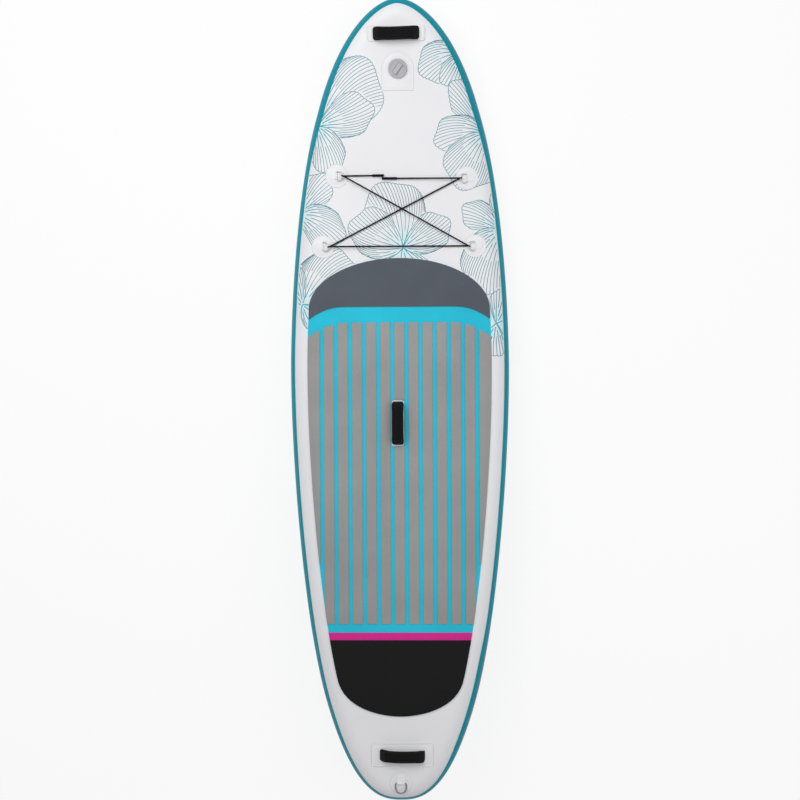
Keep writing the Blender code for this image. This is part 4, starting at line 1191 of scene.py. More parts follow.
class BOARD_OT_deck_print(Operator):
    """Lays the printed fans of lines on the deck as thin ribbons of ink"""
    bl_idname = "paddle_board.deck_print"
    bl_label = "Deck print"

    def execute(self, context):
        hull = Hull()
        s = settings()
        valve = s.valve
        width = valve.patch_width / 2
        rear = valve.place - valve.patch_length + width
        bare = [
            [(-width, rear), (width, rear), (width, valve.place + width), (-width, valve.place + width)],
            NOSE_BARE,
            pad_outline(hull),
        ]
        fans = []
        for root, spray in SPRAYS.items():
            for fan in spray:
                count = max(8, int(fan[0] * math.radians(fan[1]) * 1.10 / s.deck_print.gap))
                fans.append([fan_line(root, fan, 2 * k / count - 1) for k in range(count + 1)])
        covers = [lines[0] + [line[-1] for line in lines] + lines[-1][::-1] for lines in fans]
        mesh = bmesh.new()
        depth = mesh.verts.layers.float.new("ink_depth")
        half = s.deck_print.line / 2
        for number, lines in enumerate(fans):
            count = len(lines) - 1
            above = bare + covers[number + 1:]
            runs = []
            for k, line in enumerate(lines):
                step = next(m for m in (8, 4, 2, 1) if k % m == 0)
                gaps = [(Vector(a) - Vector(b)).length * step / 2 for a, b in zip(lines[0], lines[-1])]
                first = next((n for n, gap in enumerate(gaps) if gap * 2 / count > LINE_PITCH), 4)
                runs.append((line[0 if k in (0, count) else first:], False))
            edge = []
            for one, other in zip(lines, lines[1:]):
                middle = (Vector(one[-1]) + Vector(other[-1])) / 2
                out = (middle - Vector(lines[count // 2][10])).normalized()
                edge += [one[-1], tuple(middle + out * 0.0022)]
            runs.append((edge + [lines[-1][-1]], True))
            for line, even in runs:
                run = []
                for k, point in enumerate(line):
                    hidden = hull.outside(*point) > PRINT_REACH or any(in_outline(o, point) for o in above)
                    if not hidden:
                        run.append(point)
                    if (hidden or k == len(line) - 1) and run:
                        ribbon(mesh, hull, run, half, depth, Vector(lines[0][0]), even)
                        run = []
        piece = added("fan_print", bpy.ops.mesh.primitive_plane_add)
        mesh.to_mesh(piece.data)
        mesh.free()
        settle(piece, "board", "ink")
        return {"FINISHED"}


def pad_edge(hull, y):
    """Half width of the pad where its side follows the hull's outline."""
    side = [place for place, normal in hull.side(hull.pad.margin)]
    for ahead, behind in zip(side, side[1:]):
        if behind.y <= y <= ahead.y:
            share = (ahead.y - y) / (ahead.y - behind.y)
            return ahead.x + share * (behind.x - ahead.x)
    return 0.0


def mirrored(right):
    """A closed outline from its right half, front to rear."""
    return right + [(-x, y) for x, y in reversed(right) if abs(x) > 1e-6]


def nose_arc(hull, steps=20):
    """Right half of the pad's round front."""
    pad = hull.pad
    half = pad_edge(hull, pad.shoulder)
    rise = pad.nose - pad.shoulder
    angles = [math.pi / 2 * k / steps for k in range(steps + 1)]
    return [(half * math.sin(a), pad.shoulder + rise * math.cos(a)) for a in angles]


def tail_arc(hull, steps=16):
    """Right half of the pad's round rear."""
    pad = hull.pad
    width = pad_edge(hull, pad.corner)
    points = ((width, pad.corner), (width * 0.91, pad.rear + 0.020),
              (width * 0.25, pad.rear), (0.0, pad.rear))
    return [tuple(bezier(points, k / steps)[0]) for k in range(1, steps + 1)]


def side_run(hull, front, rear, steps):
    """Points down the pad's right side."""
    places = [front + (rear - front) * k / steps for k in range(steps + 1)]
    return [(pad_edge(hull, y), y) for y in places]


def pad_outline(hull):
    """Outline of the whole pad."""
    side = side_run(hull, hull.pad.shoulder - 0.03, hull.pad.corner, 32)
    return mirrored(nose_arc(hull) + side + tail_arc(hull))


def droop(hull, x, flat, depth, start):
    """A line across the pad that falls back towards the sides."""
    reach = max(abs(x) - start, 0.0) / (pad_edge(hull, flat) - start)
    return flat - depth * reach ** 2


def plank_outline(hull, inner, outer, steps=24):
    """Outline of a plank between two lines, cut to the pad's side and to its drooping front."""
    pad = hull.pad
    limit = min(outer, pad_edge(hull, pad.plank_front) - RUN)
    front = []
    for k in range(7):
        x = inner + (limit - inner) * k / 6
        front.append((x, droop(hull, x, pad.plank_front, *PLANK_DROOP)))
    top = front[-1][1]
    down = []
    for k in range(1, steps + 1):
        y = top + (pad.plank_rear - top) * k / steps
        x = min(outer, pad_edge(hull, y))
        if x - inner < pad.groove / 4:
            break
        down.append((x, y))
    if down[-1][0] < outer or outer > pad_edge(hull, pad.plank_rear):
        return front + down + [(inner, down[-1][1])]
    return front + [(outer, pad.plank_rear), (inner, pad.plank_rear)]


# Handles: place, turn, grip (length, width, height of its arch), patch (length, width), and how far
# the grip leans and waves to the side
HANDLES = {
    "centre": ((-0.006, -0.060), 90.0, (0.159, 0.042, 0.036), (0.165, 0.044), 0.0, 0.0),
    "nose": ((-0.0044, 1.3165), 0.0, (0.1665, 0.045, 0.028), (0.203, 0.054), -0.0017, 0.0004),
    "tail": ((0.0055, -1.265), 0.0, (0.1655, 0.043, 0.028), (0.225, 0.084), 0.0027, 0.0009),
}
# From the end of a grip's length to the middle of its webbing's foot
FOOT_INSET = 0.002
# Rear of the pad's front panel, and front and rear of its stripe
PANEL_REAR = 0.362
STRIPE = (-0.8204, -0.8477)
# How far the panel's rear and the planks' front fall back at the sides, and where across they start to
PANEL_DROOP = (0.045, 0.205)
PLANK_DROOP = (0.052, 0.190)
PLANKS_A_SIDE = 6


def top_foam(hull, name, points, foam_of, node):
    """A piece of the pad's upper foam, a little sunk in the base."""
    pad = hull.pad
    low, high = FIT + pad.base - 0.0004, FIT + pad.base + FIT + pad.top
    lay_foam(outline_piece(name, points, low, high, 0.0009), hull, foam_of, node)


def lay_foam(piece, hull, foam_of, node):
    """Bends a pad piece over the rocker and finishes it."""
    drape(deck_strips(piece, hull), hull)
    smooth(piece, 40.0)
    settle(piece, "board", foam_of, node)


class BOARD_OT_pad(Operator):
    """Models the foam deck pad: base, front panel, planks, stripe and tail panel"""
    bl_idname = "paddle_board.pad"
    bl_label = "Deck pad"

    def execute(self, context):
        hull = Hull()
        pad = hull.pad
        centre, patch = HANDLES["centre"][0], HANDLES["centre"][3]
        opening = [side + 4 * RUN for side in patch]
        base = outline_piece("pad_base_sheet", pad_outline(hull), 0.0, FIT + pad.base, 0.0006)
        hole = outline_piece("hole", rounded(opening[1], opening[0], 0.008), -0.01, 0.02)
        cut(base, put(hole, Matrix.Translation((*centre, 0))))
        lay_foam(base, hull, "cyan_foam", "pad_base")

        across = [pad_edge(hull, PANEL_REAR) * k / 14 for k in range(14, -1, -1)]
        rear = [(x, droop(hull, x, PANEL_REAR, *PANEL_DROOP)) for x in across]
        front = mirrored(nose_arc(hull) + rear)
        top_foam(hull, "pad_front_panel", front, "charcoal_foam", "pad_front")

        half = (pad.pitch - pad.groove) / 2
        ahead, behind = centre[1] + opening[0] / 2, centre[1] - opening[0] / 2
        for place in range(-PLANKS_A_SIDE, PLANKS_A_SIDE + 1):
            node = f"pad_plank_{place + PLANKS_A_SIDE + 1:02d}"
            if place == 0:
                runs = {"_front": (pad.plank_front, ahead), "_rear": (behind, pad.plank_rear)}
                for end, (top, bottom) in runs.items():
                    points = [(half, top), (half, bottom), (-half, bottom), (-half, top)]
                    top_foam(hull, node + end + "_foam", points, "grey_foam", node + end)
                continue
            inner = abs(place) * pad.pitch - half
            outer = inner + 2 * half
            if abs(place) == PLANKS_A_SIDE:
                outer = pad_edge(hull, pad.plank_front - PLANK_DROOP[0])
            points = [(math.copysign(x, place), y) for x, y in plank_outline(hull, inner, outer)]
            top_foam(hull, node + "_foam", points, "grey_foam", node)

        stripe = mirrored(side_run(hull, *STRIPE, 2))
        top_foam(hull, "pad_stripe_foam", stripe, "magenta_foam", "pad_stripe")
        tail = mirrored(side_run(hull, STRIPE[1] - FIT, pad.corner, 8) + tail_arc(hull))
        top_foam(hull, "pad_tail_panel", tail, "black_foam", "pad_tail")
        return {"FINISHED"}


def arch_line(length, height, base, low, count=96):
    """Centre line of a handle's strap, foot to foot, as (along, up) points."""
    reach = length / 2 - FOOT_INSET
    line = [(-reach, low)]
    for k in range(count + 1):
        share = -math.cos(math.pi * k / count)
        line.append((share * reach, base + height * (1 - abs(share) ** 6)))
    line.append((reach, low))
    return [Vector(p) for p in line]


def along_line(line, section, low, high):
    """Loops of a section of (across, thickness) points carried along part of a line of (x, z) points."""
    loops = []
    count = len(line)
    for k in range(low, high + 1):
        here = line[k]
        heading = (line[min(k + 1, count - 1)] - line[max(k - 1, 0)]).normalized()
        loops.append([Vector((here.x - v * heading.y, u, here.y + v * heading.x)) for u, v in section(k)])
    return loops


def handle_patch(hull, s, name, matrix, patch, reach):
    """Welded cloth patch with a pressed line along its edge and a slit for each strap end."""
    points = rounded(patch[0], patch[1], 0.010, 10)
    piece = outline_piece(name + "_handle_welded_patch", points, 0.0, FIT + s.patch, 0.0009, 3)
    pressed_line(piece, 0.0035)
    for side in (-1, 1):
        slit = (s.webbing + 2 * RUN, s.strap + 2 * RUN, 0.006)
        cut(piece, block("slit", slit, (side * reach, 0, FIT + s.patch)))
    smooth(put(piece, matrix), 30.0)
    settle(piece, "board", "white_pvc", name + "_handle_patch")
    edge = rounded(patch[0] + 0.0008, patch[1] + 0.0008, 0.0104, 10)
    glue_bead_and_edge_shade(hull, name + "_handle", [(matrix @ Vector((x, y, 0))).to_2d() for x, y in edge])


def hinged_ends(name, label, finish_of, matrix, line, section, span, hinge):
    """A strap's left and right end, between the board, at the foot, and the grip."""
    place = BOARD @ matrix
    last = len(line) - 1
    for end in ("left", "right"):
        if end == "right":
            span = (last - span[1], last - span[0])
            hinge = (last - hinge[0], last - hinge[1])
        piece = carried(f"{name}_handle_{label}_{end}", along_line(line, section, *span))
        piece.data.materials.append(finish(finish_of))
        put(piece, place)
        foot, top = [tuple(place @ Vector((line[k].x, 0, line[k].y))) for k in hinge]
        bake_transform(piece)
        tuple(foot)
        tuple(top)
        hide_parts(name + "_handle_strap")


def handle_grip(s, name, matrix, line, grip, lean, wave):
    """Padded grip: neoprene sewn along its edges round the webbing, with a collar at each end."""
    length, width = grip[:2]
    count = len(line)
    reach = length / 2 - FOOT_INSET
    foot = next(k for k, p in enumerate(line[1:], 1) if p.x > -0.985 * reach)
    first = next(k for k, p in enumerate(line[1:], 1) if p.x > -0.84 * reach)

    def section(shrink):
        """A lens with thin sewn edges, which flattens and draws in towards each end of the sleeve."""
        def at(k):
            end = min(k - foot, count - 1 - foot - k) / (first - foot)
            pull = min(1.0, 0.84 + 0.5 * end) + 0.05 * max(0.0, 1 - abs(end - 1))
            crown = s.grip / 2 * min(1.0, 0.36 + 0.64 * end)
            along = (k - foot) / (count - 2 * foot)
            swing = lean * (1 - 2 * along) + wave * math.sin(along * 3.4 * math.pi)
            points = []
            for n in range(44):
                x, z = math.cos(2 * math.pi * n / 44), math.sin(2 * math.pi * n / 44)
                u = (width / 2 * pull - shrink) * math.copysign(abs(x) ** 0.62, x)
                v = (crown - shrink) * math.copysign(abs(z) ** 0.75, z) * (1 - 0.25 * abs(x) ** 8)
                points.append((u + swing, v))
            return points
        return at

    loops = along_line(line, section(0.0), first, count - 1 - first)
    sleeve = put(carried(name + "_handle_padded_grip", loops), matrix)
    settle(sleeve, name + "_grip", "neoprene", name + "_handle_grip")
    hinged_ends(name, "collar", "neoprene", matrix, line, section(0.0003), (foot, first + 3), (0, first))

    run = line[first:count - first]
    stitches = []
    for lane in (width / 2 - 0.0042, 0.0042 - width / 2):
        for lift in (s.grip * 0.45, -s.grip * 0.45):
            stitches += seam(run, lane, lift, s.stitch)
    for k in (3, len(run) - 4):
        stitches += bar_tack(run, k, width, s)
    thread = smooth(put(join(name + "_handle_stitches", stitches), matrix), 60.0)
    settle(thread, name + "_grip", "thread")


def one_stitch(start, end, normal):
    """One stitch: a short thread that dips into the cloth at both ends."""
    middle = (start + end) / 2 + normal * 0.0003
    route = rounded_route([start - normal * 0.0005, start.lerp(middle, 0.4) + normal * 0.0002, middle,
                           end.lerp(middle, 0.4) + normal * 0.0002, end - normal * 0.0005], 0.0012)
    return tube("stitch", route, 0.00034, 6)


def seam(run, lane, lift, length):
    """Stitches along one edge of a grip."""
    made = []
    travelled = 0.0
    start = None
    for a, b in zip(run, run[1:]):
        step = (b - a).length
        heading = (b - a).normalized()
        normal = Vector((-heading.y, 0, heading.x)) * (1 if lift > 0 else -1)
        while travelled < step:
            here = a + heading * travelled
            point = Vector((here.x, lane, here.y)) + Vector((-heading.y, 0, heading.x)) * lift
            if start is None:
                start = point
                travelled += length
            else:
                made.append(one_stitch(start, point, normal))
                start = None
                travelled += length * 0.45
        travelled -= step
    return made


def bar_tack(run, k, width, s):
    """A row of stitches across a grip's end."""
    heading = (run[k + 1] - run[k - 1]).normalized()
    normal = Vector((-heading.y, 0, heading.x))
    made = []
    steps = int(width * 0.7 / (s.stitch * 1.45))
    for n in range(steps):
        y = -width * 0.35 + width * 0.7 * n / steps
        foot = Vector((run[k].x, y, run[k].y)) + normal * s.grip / 2 * 0.93
        made.append(one_stitch(foot, foot + Vector((0, s.stitch, 0)), normal))
    return made


class BOARD_OT_carry_handles(Operator):
    """Models the three carry handles: welded patch, webbing and padded grip"""
    bl_idname = "paddle_board.carry_handles"
    bl_label = "Carry handles"

    def execute(self, context):
        hull = Hull()
        s = settings().handle
        outline = rounded(s.strap, s.webbing, s.webbing * 0.45, 3)
        for name, (place, turn, grip, patch, lean, wave) in HANDLES.items():
            matrix = hull.fitting(*place, turn)
            handle_patch(hull, s, name, matrix, patch, grip[0] / 2 - FOOT_INSET)
            line = arch_line(grip[0], grip[2], FIT + s.patch, FIT + s.webbing)
            hinged_ends(name, "webbing", "webbing", matrix, line, lambda k: outline, (0, 34), (0, 34))
            handle_grip(s, name, matrix, line, grip, lean, wave)
        return {"FINISHED"}


# Cloth of a ring's round patch, and how far ahead of a lashing ring its patch touches the deck
ANCHOR_SHEET = 0.0010
ANCHOR_REACH = 0.040


def ring_route(length, width, wire, corner=0.004, steps=40):
    """Centre line of a D ring: a bar on the Y axis and a bow that reaches out along +X."""
    half = width / 2 - wire
    leg = length - 2 * wire - half
    points = []
    for k in range(steps + 1):
        angle = math.radians(-90 + 180 * k / steps)
        points.append(Vector((leg + half * math.cos(angle), half * math.sin(angle), 0)))
    for sign in (1, -1):
        for k in range(9):
            angle = math.radians((90 if sign > 0 else 180) + 90 * k / 8)
            y = sign * (half - corner) + corner * math.sin(angle)
            points.append(Vector((corner + corner * math.cos(angle), y, 0)))
    return points


def ring_piece(name, length, width, wire):
    """A D ring of round wire, with the weld that closes it on its bar."""
    piece = tube(name, ring_route(length, width, wire), wire, 20, closed=True)
    weld = drum("weld", wire * 1.10, wire * 1.3, turn=(math.pi / 2, 0, 0), sides=24)
    put(weld)
    edit(weld)
    pick("EDGE", lambda edge: abs(abs(middle(edge).y) - wire * 0.65) < 1e-5)
    bpy.ops.mesh.bevel(offset=wire * 0.25, segments=3, affect="EDGES")
    return join(name, [piece, close(weld)])


def anchor_piece(hull, name, place, turn, reach, ring, radius, loop):
    """A ring's anchor: a round patch welded to the deck and a strip folded over the ring's bar."""
    top = FIT + ANCHOR_SHEET
    bar = top + FIT + ring
    matrix = hull.fitting(*place, turn, reach)
    circle = [Vector((math.cos(math.radians(5 * k)), math.sin(math.radians(5 * k)))) for k in range(72)]
    disc = outline_piece(name, [radius * p for p in circle], 0.0, top)
    apply(disc, "BEVEL", width=0.0003, segments=2, limit_method="ANGLE", angle_limit=math.radians(30))
    pressed_line(disc, 0.0045)
    sliced(disc, [radius * (k / 8 - 1) for k in range(1, 16)])
    put(disc, Matrix.Translation((*place, 0)) @ Matrix.Rotation(math.radians(turn), 4, "Z"))
    drape(disc, hull)
    glue_bead_and_edge_shade(hull, name, [Vector(place) + (radius + 0.0003) * p for p in circle])

    wall = ring + FIT + 0.0014
    profile = []
    for k in range(25):
        angle = math.radians(-52 + 232 * k / 24)
        profile.append((wall * math.cos(angle), bar + wall * math.sin(angle)))
    profile = [p for p in profile if p[1] > top - ANCHOR_SHEET / 2]
    profile += [(-wall - 0.0015, top + 0.0022), (-wall - 0.0045, top + 0.0014), (-0.0245, top + 0.0014),
                (-0.0260, top + 0.0009), (-0.0260, 0.0002), (wall * 0.80, 0.0002)]
    sections = []
    for k in range(15):
        share = 2 * k / 14 - 1
        y = loop / 2 * share
        inward = 0.0006 * max(abs(share) - 0.85, 0.0) / 0.15
        sections.append([Vector((x, y, z - inward * (1 if z > bar else 0))) for x, z in profile])
    strip = carried("strip", sections)
    edit(strip)
    close(strip)
    cut(strip, drum("bore", ring + FIT, loop * 2, (0, 0, bar), (math.pi / 2, 0, 0), 40))
    put(strip, matrix)
    piece = join(name, [disc, strip])
    return smooth(piece, 30.0), matrix @ Matrix.Translation((0, 0, bar))


class BOARD_OT_lashing_rings(Operator):
    """Models the four lashing rings and their anchors"""
    bl_idname = "paddle_board.lashing_rings"
    bl_label = "Lashing rings"

    def execute(self, context):
        hull = Hull()
        s = settings().lashing
        rise = lashing_rise(s)
        for end, side, place, turn in lashing_places(s):
            name = f"ring_{end}_{side}"
            anchor, hinge = anchor_piece(hull, name + "_welded_anchor", place, turn, ANCHOR_REACH,
                                         s.wire, s.anchor, s.loop)
            settle(anchor, "board", "white_pvc", name + "_anchor")
            ring = ring_piece(name + "_steel", s.ring_length, s.ring_width, s.wire)
            smooth(put(ring, hinge @ Matrix.Rotation(-rise, 4, "Y")), 40.0)
            settle(ring, f"{end}_{side}_ring", "steel", name)
        return {"FINISHED"}


class BOARD_OT_leash_ring(Operator):
    """Models the leash ring at the tail and its anchor"""
    bl_idname = "paddle_board.leash_ring"
    bl_label = "Leash ring"

    def execute(self, context):
        s = settings().lashing
        place, length, width, loop, reach = (0.0, -1.3685), 0.040, 0.043, 0.028, 0.010
        anchor, hinge = anchor_piece(Hull(), "leash_welded_anchor", place, -90.0, reach,
                                     s.leash_wire, s.anchor, loop)
        settle(anchor, "board", "white_pvc", "leash_ring_anchor")
        ring = put(ring_piece("leash_steel_ring", length, width, s.leash_wire), hinge)
        smooth(ring, 40.0)
        settle(ring, "tail_ring", "dull_steel", "leash_ring")
        return {"FINISHED"}


# Each row of lashing rings: half spread, place along the board and shift to the right
LASHING = {"front": (0.234, 0.8255, 0.0115), "rear": (0.275, 0.5795, 0.0)}
# Ends of each half of the knot across the board
KNOT_LEFT = (-0.0941, -0.0519)
KNOT_RIGHT = (-0.0605, -0.0052)


def lashing_places(s):
    """Row, side, place and turn of each lashing ring; a front ring lies in line with its half knot."""
    found = []
    for end, (half, middle, shift) in LASHING.items():
        lead = s.knot + RUN if end == "front" else 0.0
        for side, sign in (("left", -1), ("right", 1)):
            place = (sign * half + shift, middle - sign * lead)
            found.append((end, side, place, 0.0 if sign < 0 else 180.0))
    return found


def lashing_rise(s):
    """Angle of a lashing ring whose bow rests on the cord that passes below it."""
    return math.asin((2 * s.cord + 2 * RUN + RUN - FIT) / (s.ring_length - 2 * s.wire))


def hook_points(s, matrix, arriving, leaving, over):
    """Cord points round a ring's bow, from above the wire to below it or the other way about."""
    rise = lashing_rise(s)
    reach = s.ring_length - 2 * s.wire
    bar = FIT + ANCHOR_SHEET + FIT + s.wire
    centre = matrix @ Vector((reach * math.cos(rise), 0, bar + reach * math.sin(rise)))
    up = matrix.to_3x3() @ Vector((0, 0, 1))
    clear = s.wire + s.cord + 2 * RUN
    ways = []
    for target in (arriving, leaving):
        away = Vector(target) - centre
        ways.append((away - away.dot(up) * up).normalized())
    found = []
    for k in range(7):
        angle = math.radians(90 + 30 * k)
        away = ways[0].lerp(ways[1], k / 6).normalized()
        lift = math.sin(angle) if over else -math.sin(angle)
        found.append(centre + away * clear * math.cos(angle) + up * clear * lift)
    return found


def eased(route):
    """The route with even samples: straight runs stay straight, hooks stay round."""
    dense = [route[0]]
    for a, b in zip(route, route[1:]):
        steps = max(1, int((b - a).length / 0.008))
        dense += [a.lerp(b, n / steps) for n in range(1, steps + 1)]
    for _ in range(2):
        inner = [(a + 2 * b + c) / 4 for a, b, c in zip(dense, dense[1:], dense[2:])]
        dense = [dense[0]] + inner + [dense[-1]]
    return dense


def knot_half(s, name, low, high, y, height, lean):
    """One half of the knot: the cord's own turns wound close round its other end."""
    thin = (s.knot - FIT) / 2 - s.cord / 2 + 0.0002
    turns = max(4, int((high - low - 2 * thin) / (2.04 * thin)))
    radius = s.knot - thin
    steps = 18
    count = turns * steps
    route = []
    for k in range(count + 1):
        share = k / count
        angle = 2 * math.pi * k / steps * lean
        x = low + thin + (high - low - 2 * thin) * share
        route.append(Vector((x, y + radius * math.cos(angle), height + radius * math.sin(angle))))
    piece = tube(f"bungee_knot_{name}_wraps", route, thin, 10)
    return settle(piece, "board", "black_cord", f"bungee_knot_{name}")


class BOARD_OT_bungee(Operator):
    """Lays the bungee cord through its four rings, with the knot that joins its ends"""
    bl_idname = "paddle_board.bungee"
    bl_label = "Bungee cord"

    def execute(self, context):
        hull = Hull()
        s = settings().lashing
        spots = {(end, side): hull.fitting(*place, turn, ANCHOR_REACH)
                 for end, side, place, turn in lashing_places(s)}
        offset = s.knot + RUN
        y = LASHING["front"][1]
        height = hull.frame_height(y + s.knot + offset) + s.knot + FIT
        near, far = y - offset, y + offset
        start = Vector((KNOT_LEFT[1] - 0.006, near, height))
        end = Vector((KNOT_RIGHT[0] + 0.006, far, height))
        rings = (("front", "right", True), ("rear", "left", False),
                 ("rear", "right", False), ("front", "left", True))
        bows = [spots[row, side] @ Vector((s.ring_length, 0, 0)) for row, side, over in rings]
        bends = [start] + bows + [end]
        route = [start, Vector((KNOT_RIGHT[1] + 0.004, near, height))]
        for k, (row, side, over) in enumerate(rings):
            route += hook_points(s, spots[row, side], bends[k], bends[k + 2], over)
        route += [Vector((KNOT_LEFT[0] - 0.004, far, height)), end]
        dense = eased(route)
        cord = tube("bungee_braided_cord", dense, s.cord, 18)
        settle(cord, "board", "black_cord", "bungee_cord")
        length = sum((b - a).length for a, b in zip(dense, dense[1:]))
        path = [BOARD @ p for p in dense]
        wraps = [knot_half(s, "left", *KNOT_LEFT, far, height, 1),
                 knot_half(s, "right", *KNOT_RIGHT, near, height, -1)]
        tuple(path[0])
        [tuple(p) for p in path]
        return {"FINISHED"}


# Thickness of the valve's patch and of the cap's gasket
VALVE_SHEET = 0.0012
GASKET = 0.0018


def fit_valve_piece(piece, matrix, body, slot, node):
    """Sets a valve piece in its place."""
    smooth(put(piece, matrix), 34.0)
    settle(piece, body, slot, node)


def valve_patch(hull, s):
    """The white patch round the valve, square at the rear and round at the front."""
    half = s.patch_width / 2
    rear = s.place - s.patch_length + half

    def outline(grow):
        arc = [math.pi * k / 40 for k in range(41)]
        points = [((half + grow) * math.cos(a), s.place + (half + grow) * math.sin(a)) for a in arc]
        return points + [(-half - grow, rear - grow), (half + grow, rear - grow)]

    patch = outline_piece("valve_welded_patch", outline(0.0), FIT, FIT + VALVE_SHEET, 0.0004)
    pressed_line(patch, 0.0040)
    cut(patch, drum("hole", s.neck + RUN, 0.02, (0, s.place, 0), sides=96))
    drape(deck_strips(patch, hull), hull)
    smooth(patch, 30.0)
    settle(patch, "board", "white_pvc", "valve_patch")
    glue_bead_and_edge_shade(hull, "valve", outline(0.0003)[:41] + [(-half, rear - 0.0003), (half, rear - 0.0003)])


# Cap: notches in its rim, its bar, and the pockets beside it, from the bar's side to their round edge
CAP_NOTCHES = 18
BAR_RISE = 0.0050
BAR_ROUND = 0.0010
BAR_SIDE = 0.0092
POCKET_HALF = 0.0225
POCKET_RADIUS = 0.0262


def valve_cap(s):
    """Screw cap: a disc with a turned rim, a pocket on each side of a bar to grip, and rim notches."""
    under = FIT + GASKET + FIT
    skirt, high, edge = -0.0021, s.cap_height, 0.0015
    cap = turned("valve_screw_cap", [
        (0.0, under), (s.flange + RUN, under), (s.flange + RUN, skirt), (s.cap, skirt),
        (s.cap, high - edge), (s.cap - edge, high), (0.0300, high), (0.0294, high - 0.0005),
        (0.0288, high), (0.0, high)], 0.0006, 3, 120)
    for side in (-1, 1):
        across = [POCKET_HALF * (k / 12 - 1) for k in range(25)]
        points = [(x, side * BAR_SIDE) for x in across]
        points += [(x, side * 0.999 * math.sqrt(POCKET_RADIUS ** 2 - x * x)) for x in reversed(across)]
        pocket = outline_piece("pocket", points[::side], high - 0.0021, high + 0.004)
        cut(cap, pocket)
        groove = [(x, side * 0.0095 + y) for x, y in rounded(0.044, 0.0020, 0.0008, 3)]
        cut(cap, outline_piece("groove", groove, high - 0.0032, high + 0.004))
    reach = s.cap + 0.0010
    for k in range(CAP_NOTCHES):
        angle = 2 * math.pi * k / CAP_NOTCHES
        spot = (reach * math.cos(angle), reach * math.sin(angle), 0.002)
        cut(cap, drum("notch", 0.0016, 0.02, spot, sides=20))
    foot = rounded(0.046, 0.017, 0.0042, 8)
    levels = [(foot, high - 0.0028), (foot, high - 0.0004)]
    for k in range(5):
        angle = math.pi / 8 * k
        inset = BAR_ROUND * (1 - math.cos(angle))
        outline = rounded(0.0438 - 2 * inset, 0.0146 - 2 * inset, 0.0040 - inset, 8)
        levels.append((outline, high + BAR_RISE - BAR_ROUND * (1 - math.sin(angle))))
    cut(cap, stacked("bar", levels), "UNION")
    return put(cap, Matrix.Rotation(math.radians(s.bar_turn), 4, "Z"))


class BOARD_OT_inflation_valve(Operator):
    """Models the inflation valve: patch, body, stem, spring, gasket and cap"""
    bl_idname = "paddle_board.inflation_valve"
    bl_label = "Inflation valve"

    def execute(self, context):
        hull = Hull()
        s = settings().valve
        valve_patch(hull, s)
        matrix = hull.fitting(0.0, s.place)
        low = FIT + VALVE_SHEET + 2 * FIT
        top = low + 0.0030
        bottom = -0.032
        body = turned("valve_flanged_body", [
            (s.bore, top), (s.flange, top), (s.flange, low), (s.neck, low), (s.neck, bottom),
            (0.0125, bottom), (0.0125, bottom + 0.0030), (s.bore, bottom + 0.0030)], 0.0006, steps=96)
        hub_low = bottom + 0.0050
        hub_high = hub_low + 0.0060
        hub = [(0.0031, hub_low), (0.0050, hub_low), (0.0050, hub_high), (0.0031, hub_high)]
        cut(body, turned("hub", hub, 0.0004, 2, 40), "UNION")
        for k in range(3):
            rib = block("rib", (0.0145, 0.0020, 0.0060), (0.01125, 0, hub_low + 0.0030))
            cut(body, put(rib, Matrix.Rotation(math.radians(120 * k), 4, "Z")), "UNION")
        fit_valve_piece(body, matrix, "board", "grey_plastic", "valve_body")

        button = top - 0.0040
        seal = bottom - FIT - 0.0025 - FIT
        stem = turned("valve_push_stem", [
            (0.0, button - 0.0006), (0.0035, button - 0.0006), (0.0042, button), (0.0080, button),
            (0.0080, button - 0.0030), (0.0028, button - 0.0030), (0.0028, seal), (0.0135, seal),
            (0.0135, seal - 0.0020), (0.0, seal - 0.0020)], 0.0005, 3, 48)
        fit_valve_piece(stem, matrix, "stem", "grey_plastic", "valve_stem")

        coil_low, coil_high = hub_high + 0.0009, button - 0.0039
        route = []
        for k in range(97):
            angle = math.radians(15 * k)
            height = coil_low + (coil_high - coil_low) * k / 96
            route.append(Vector((0.0046 * math.cos(angle), 0.0046 * math.sin(angle), height)))
        spring = tube("valve_coil_spring", route, 0.0006, 10)
        fit_valve_piece(spring, matrix, "board", "steel", "valve_spring")
        push = joint("valve_push")
        tuple(push["axis"])
        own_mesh(spring)

        seat = matrix @ Matrix.Translation((0, 0, top))
        face = FIT + GASKET
        gasket = turned("valve_cap_gasket", [(0.026, FIT), (0.029, FIT), (0.029, face), (0.026, face)],
                        0.0007, steps=96)
        fit_valve_piece(gasket, seat, "cap_seal", "black_rubber", "cap_gasket")
        fit_valve_piece(valve_cap(s), seat, "cap", "grey_plastic", "valve_cap")
        return {"FINISHED"}


# The fin box's flange (width, length, corner) and slot, the channel across the slot, counted from the
# box's face, and the radii of the pin and the screw that hold the fin
BOX_FLANGE = (0.096, 0.312, 0.040)
SLOT_WIDTH = 0.0098
SLOT_LENGTH = 0.240
CHANNEL_FLOOR = 0.0080
CHANNEL_HEIGHT = 0.0045
PIN_RADIUS = 0.0018
SCREW_RADIUS = 0.0020
# The foil's sweep, its thickness at the root, and the share of its depth where its tip rounds off
FIN_SWEEP = 0.165
FIN_THICK = 0.0088
TIP_START = 0.93


def fin_holds(s):
    """Place along the board of the fin's cross pin and of its screw, and the height of the pin."""
    return s.front - s.chord + 0.016, s.front + 0.0065, CHANNEL_FLOOR + CHANNEL_HEIGHT / 2 - s.box_height


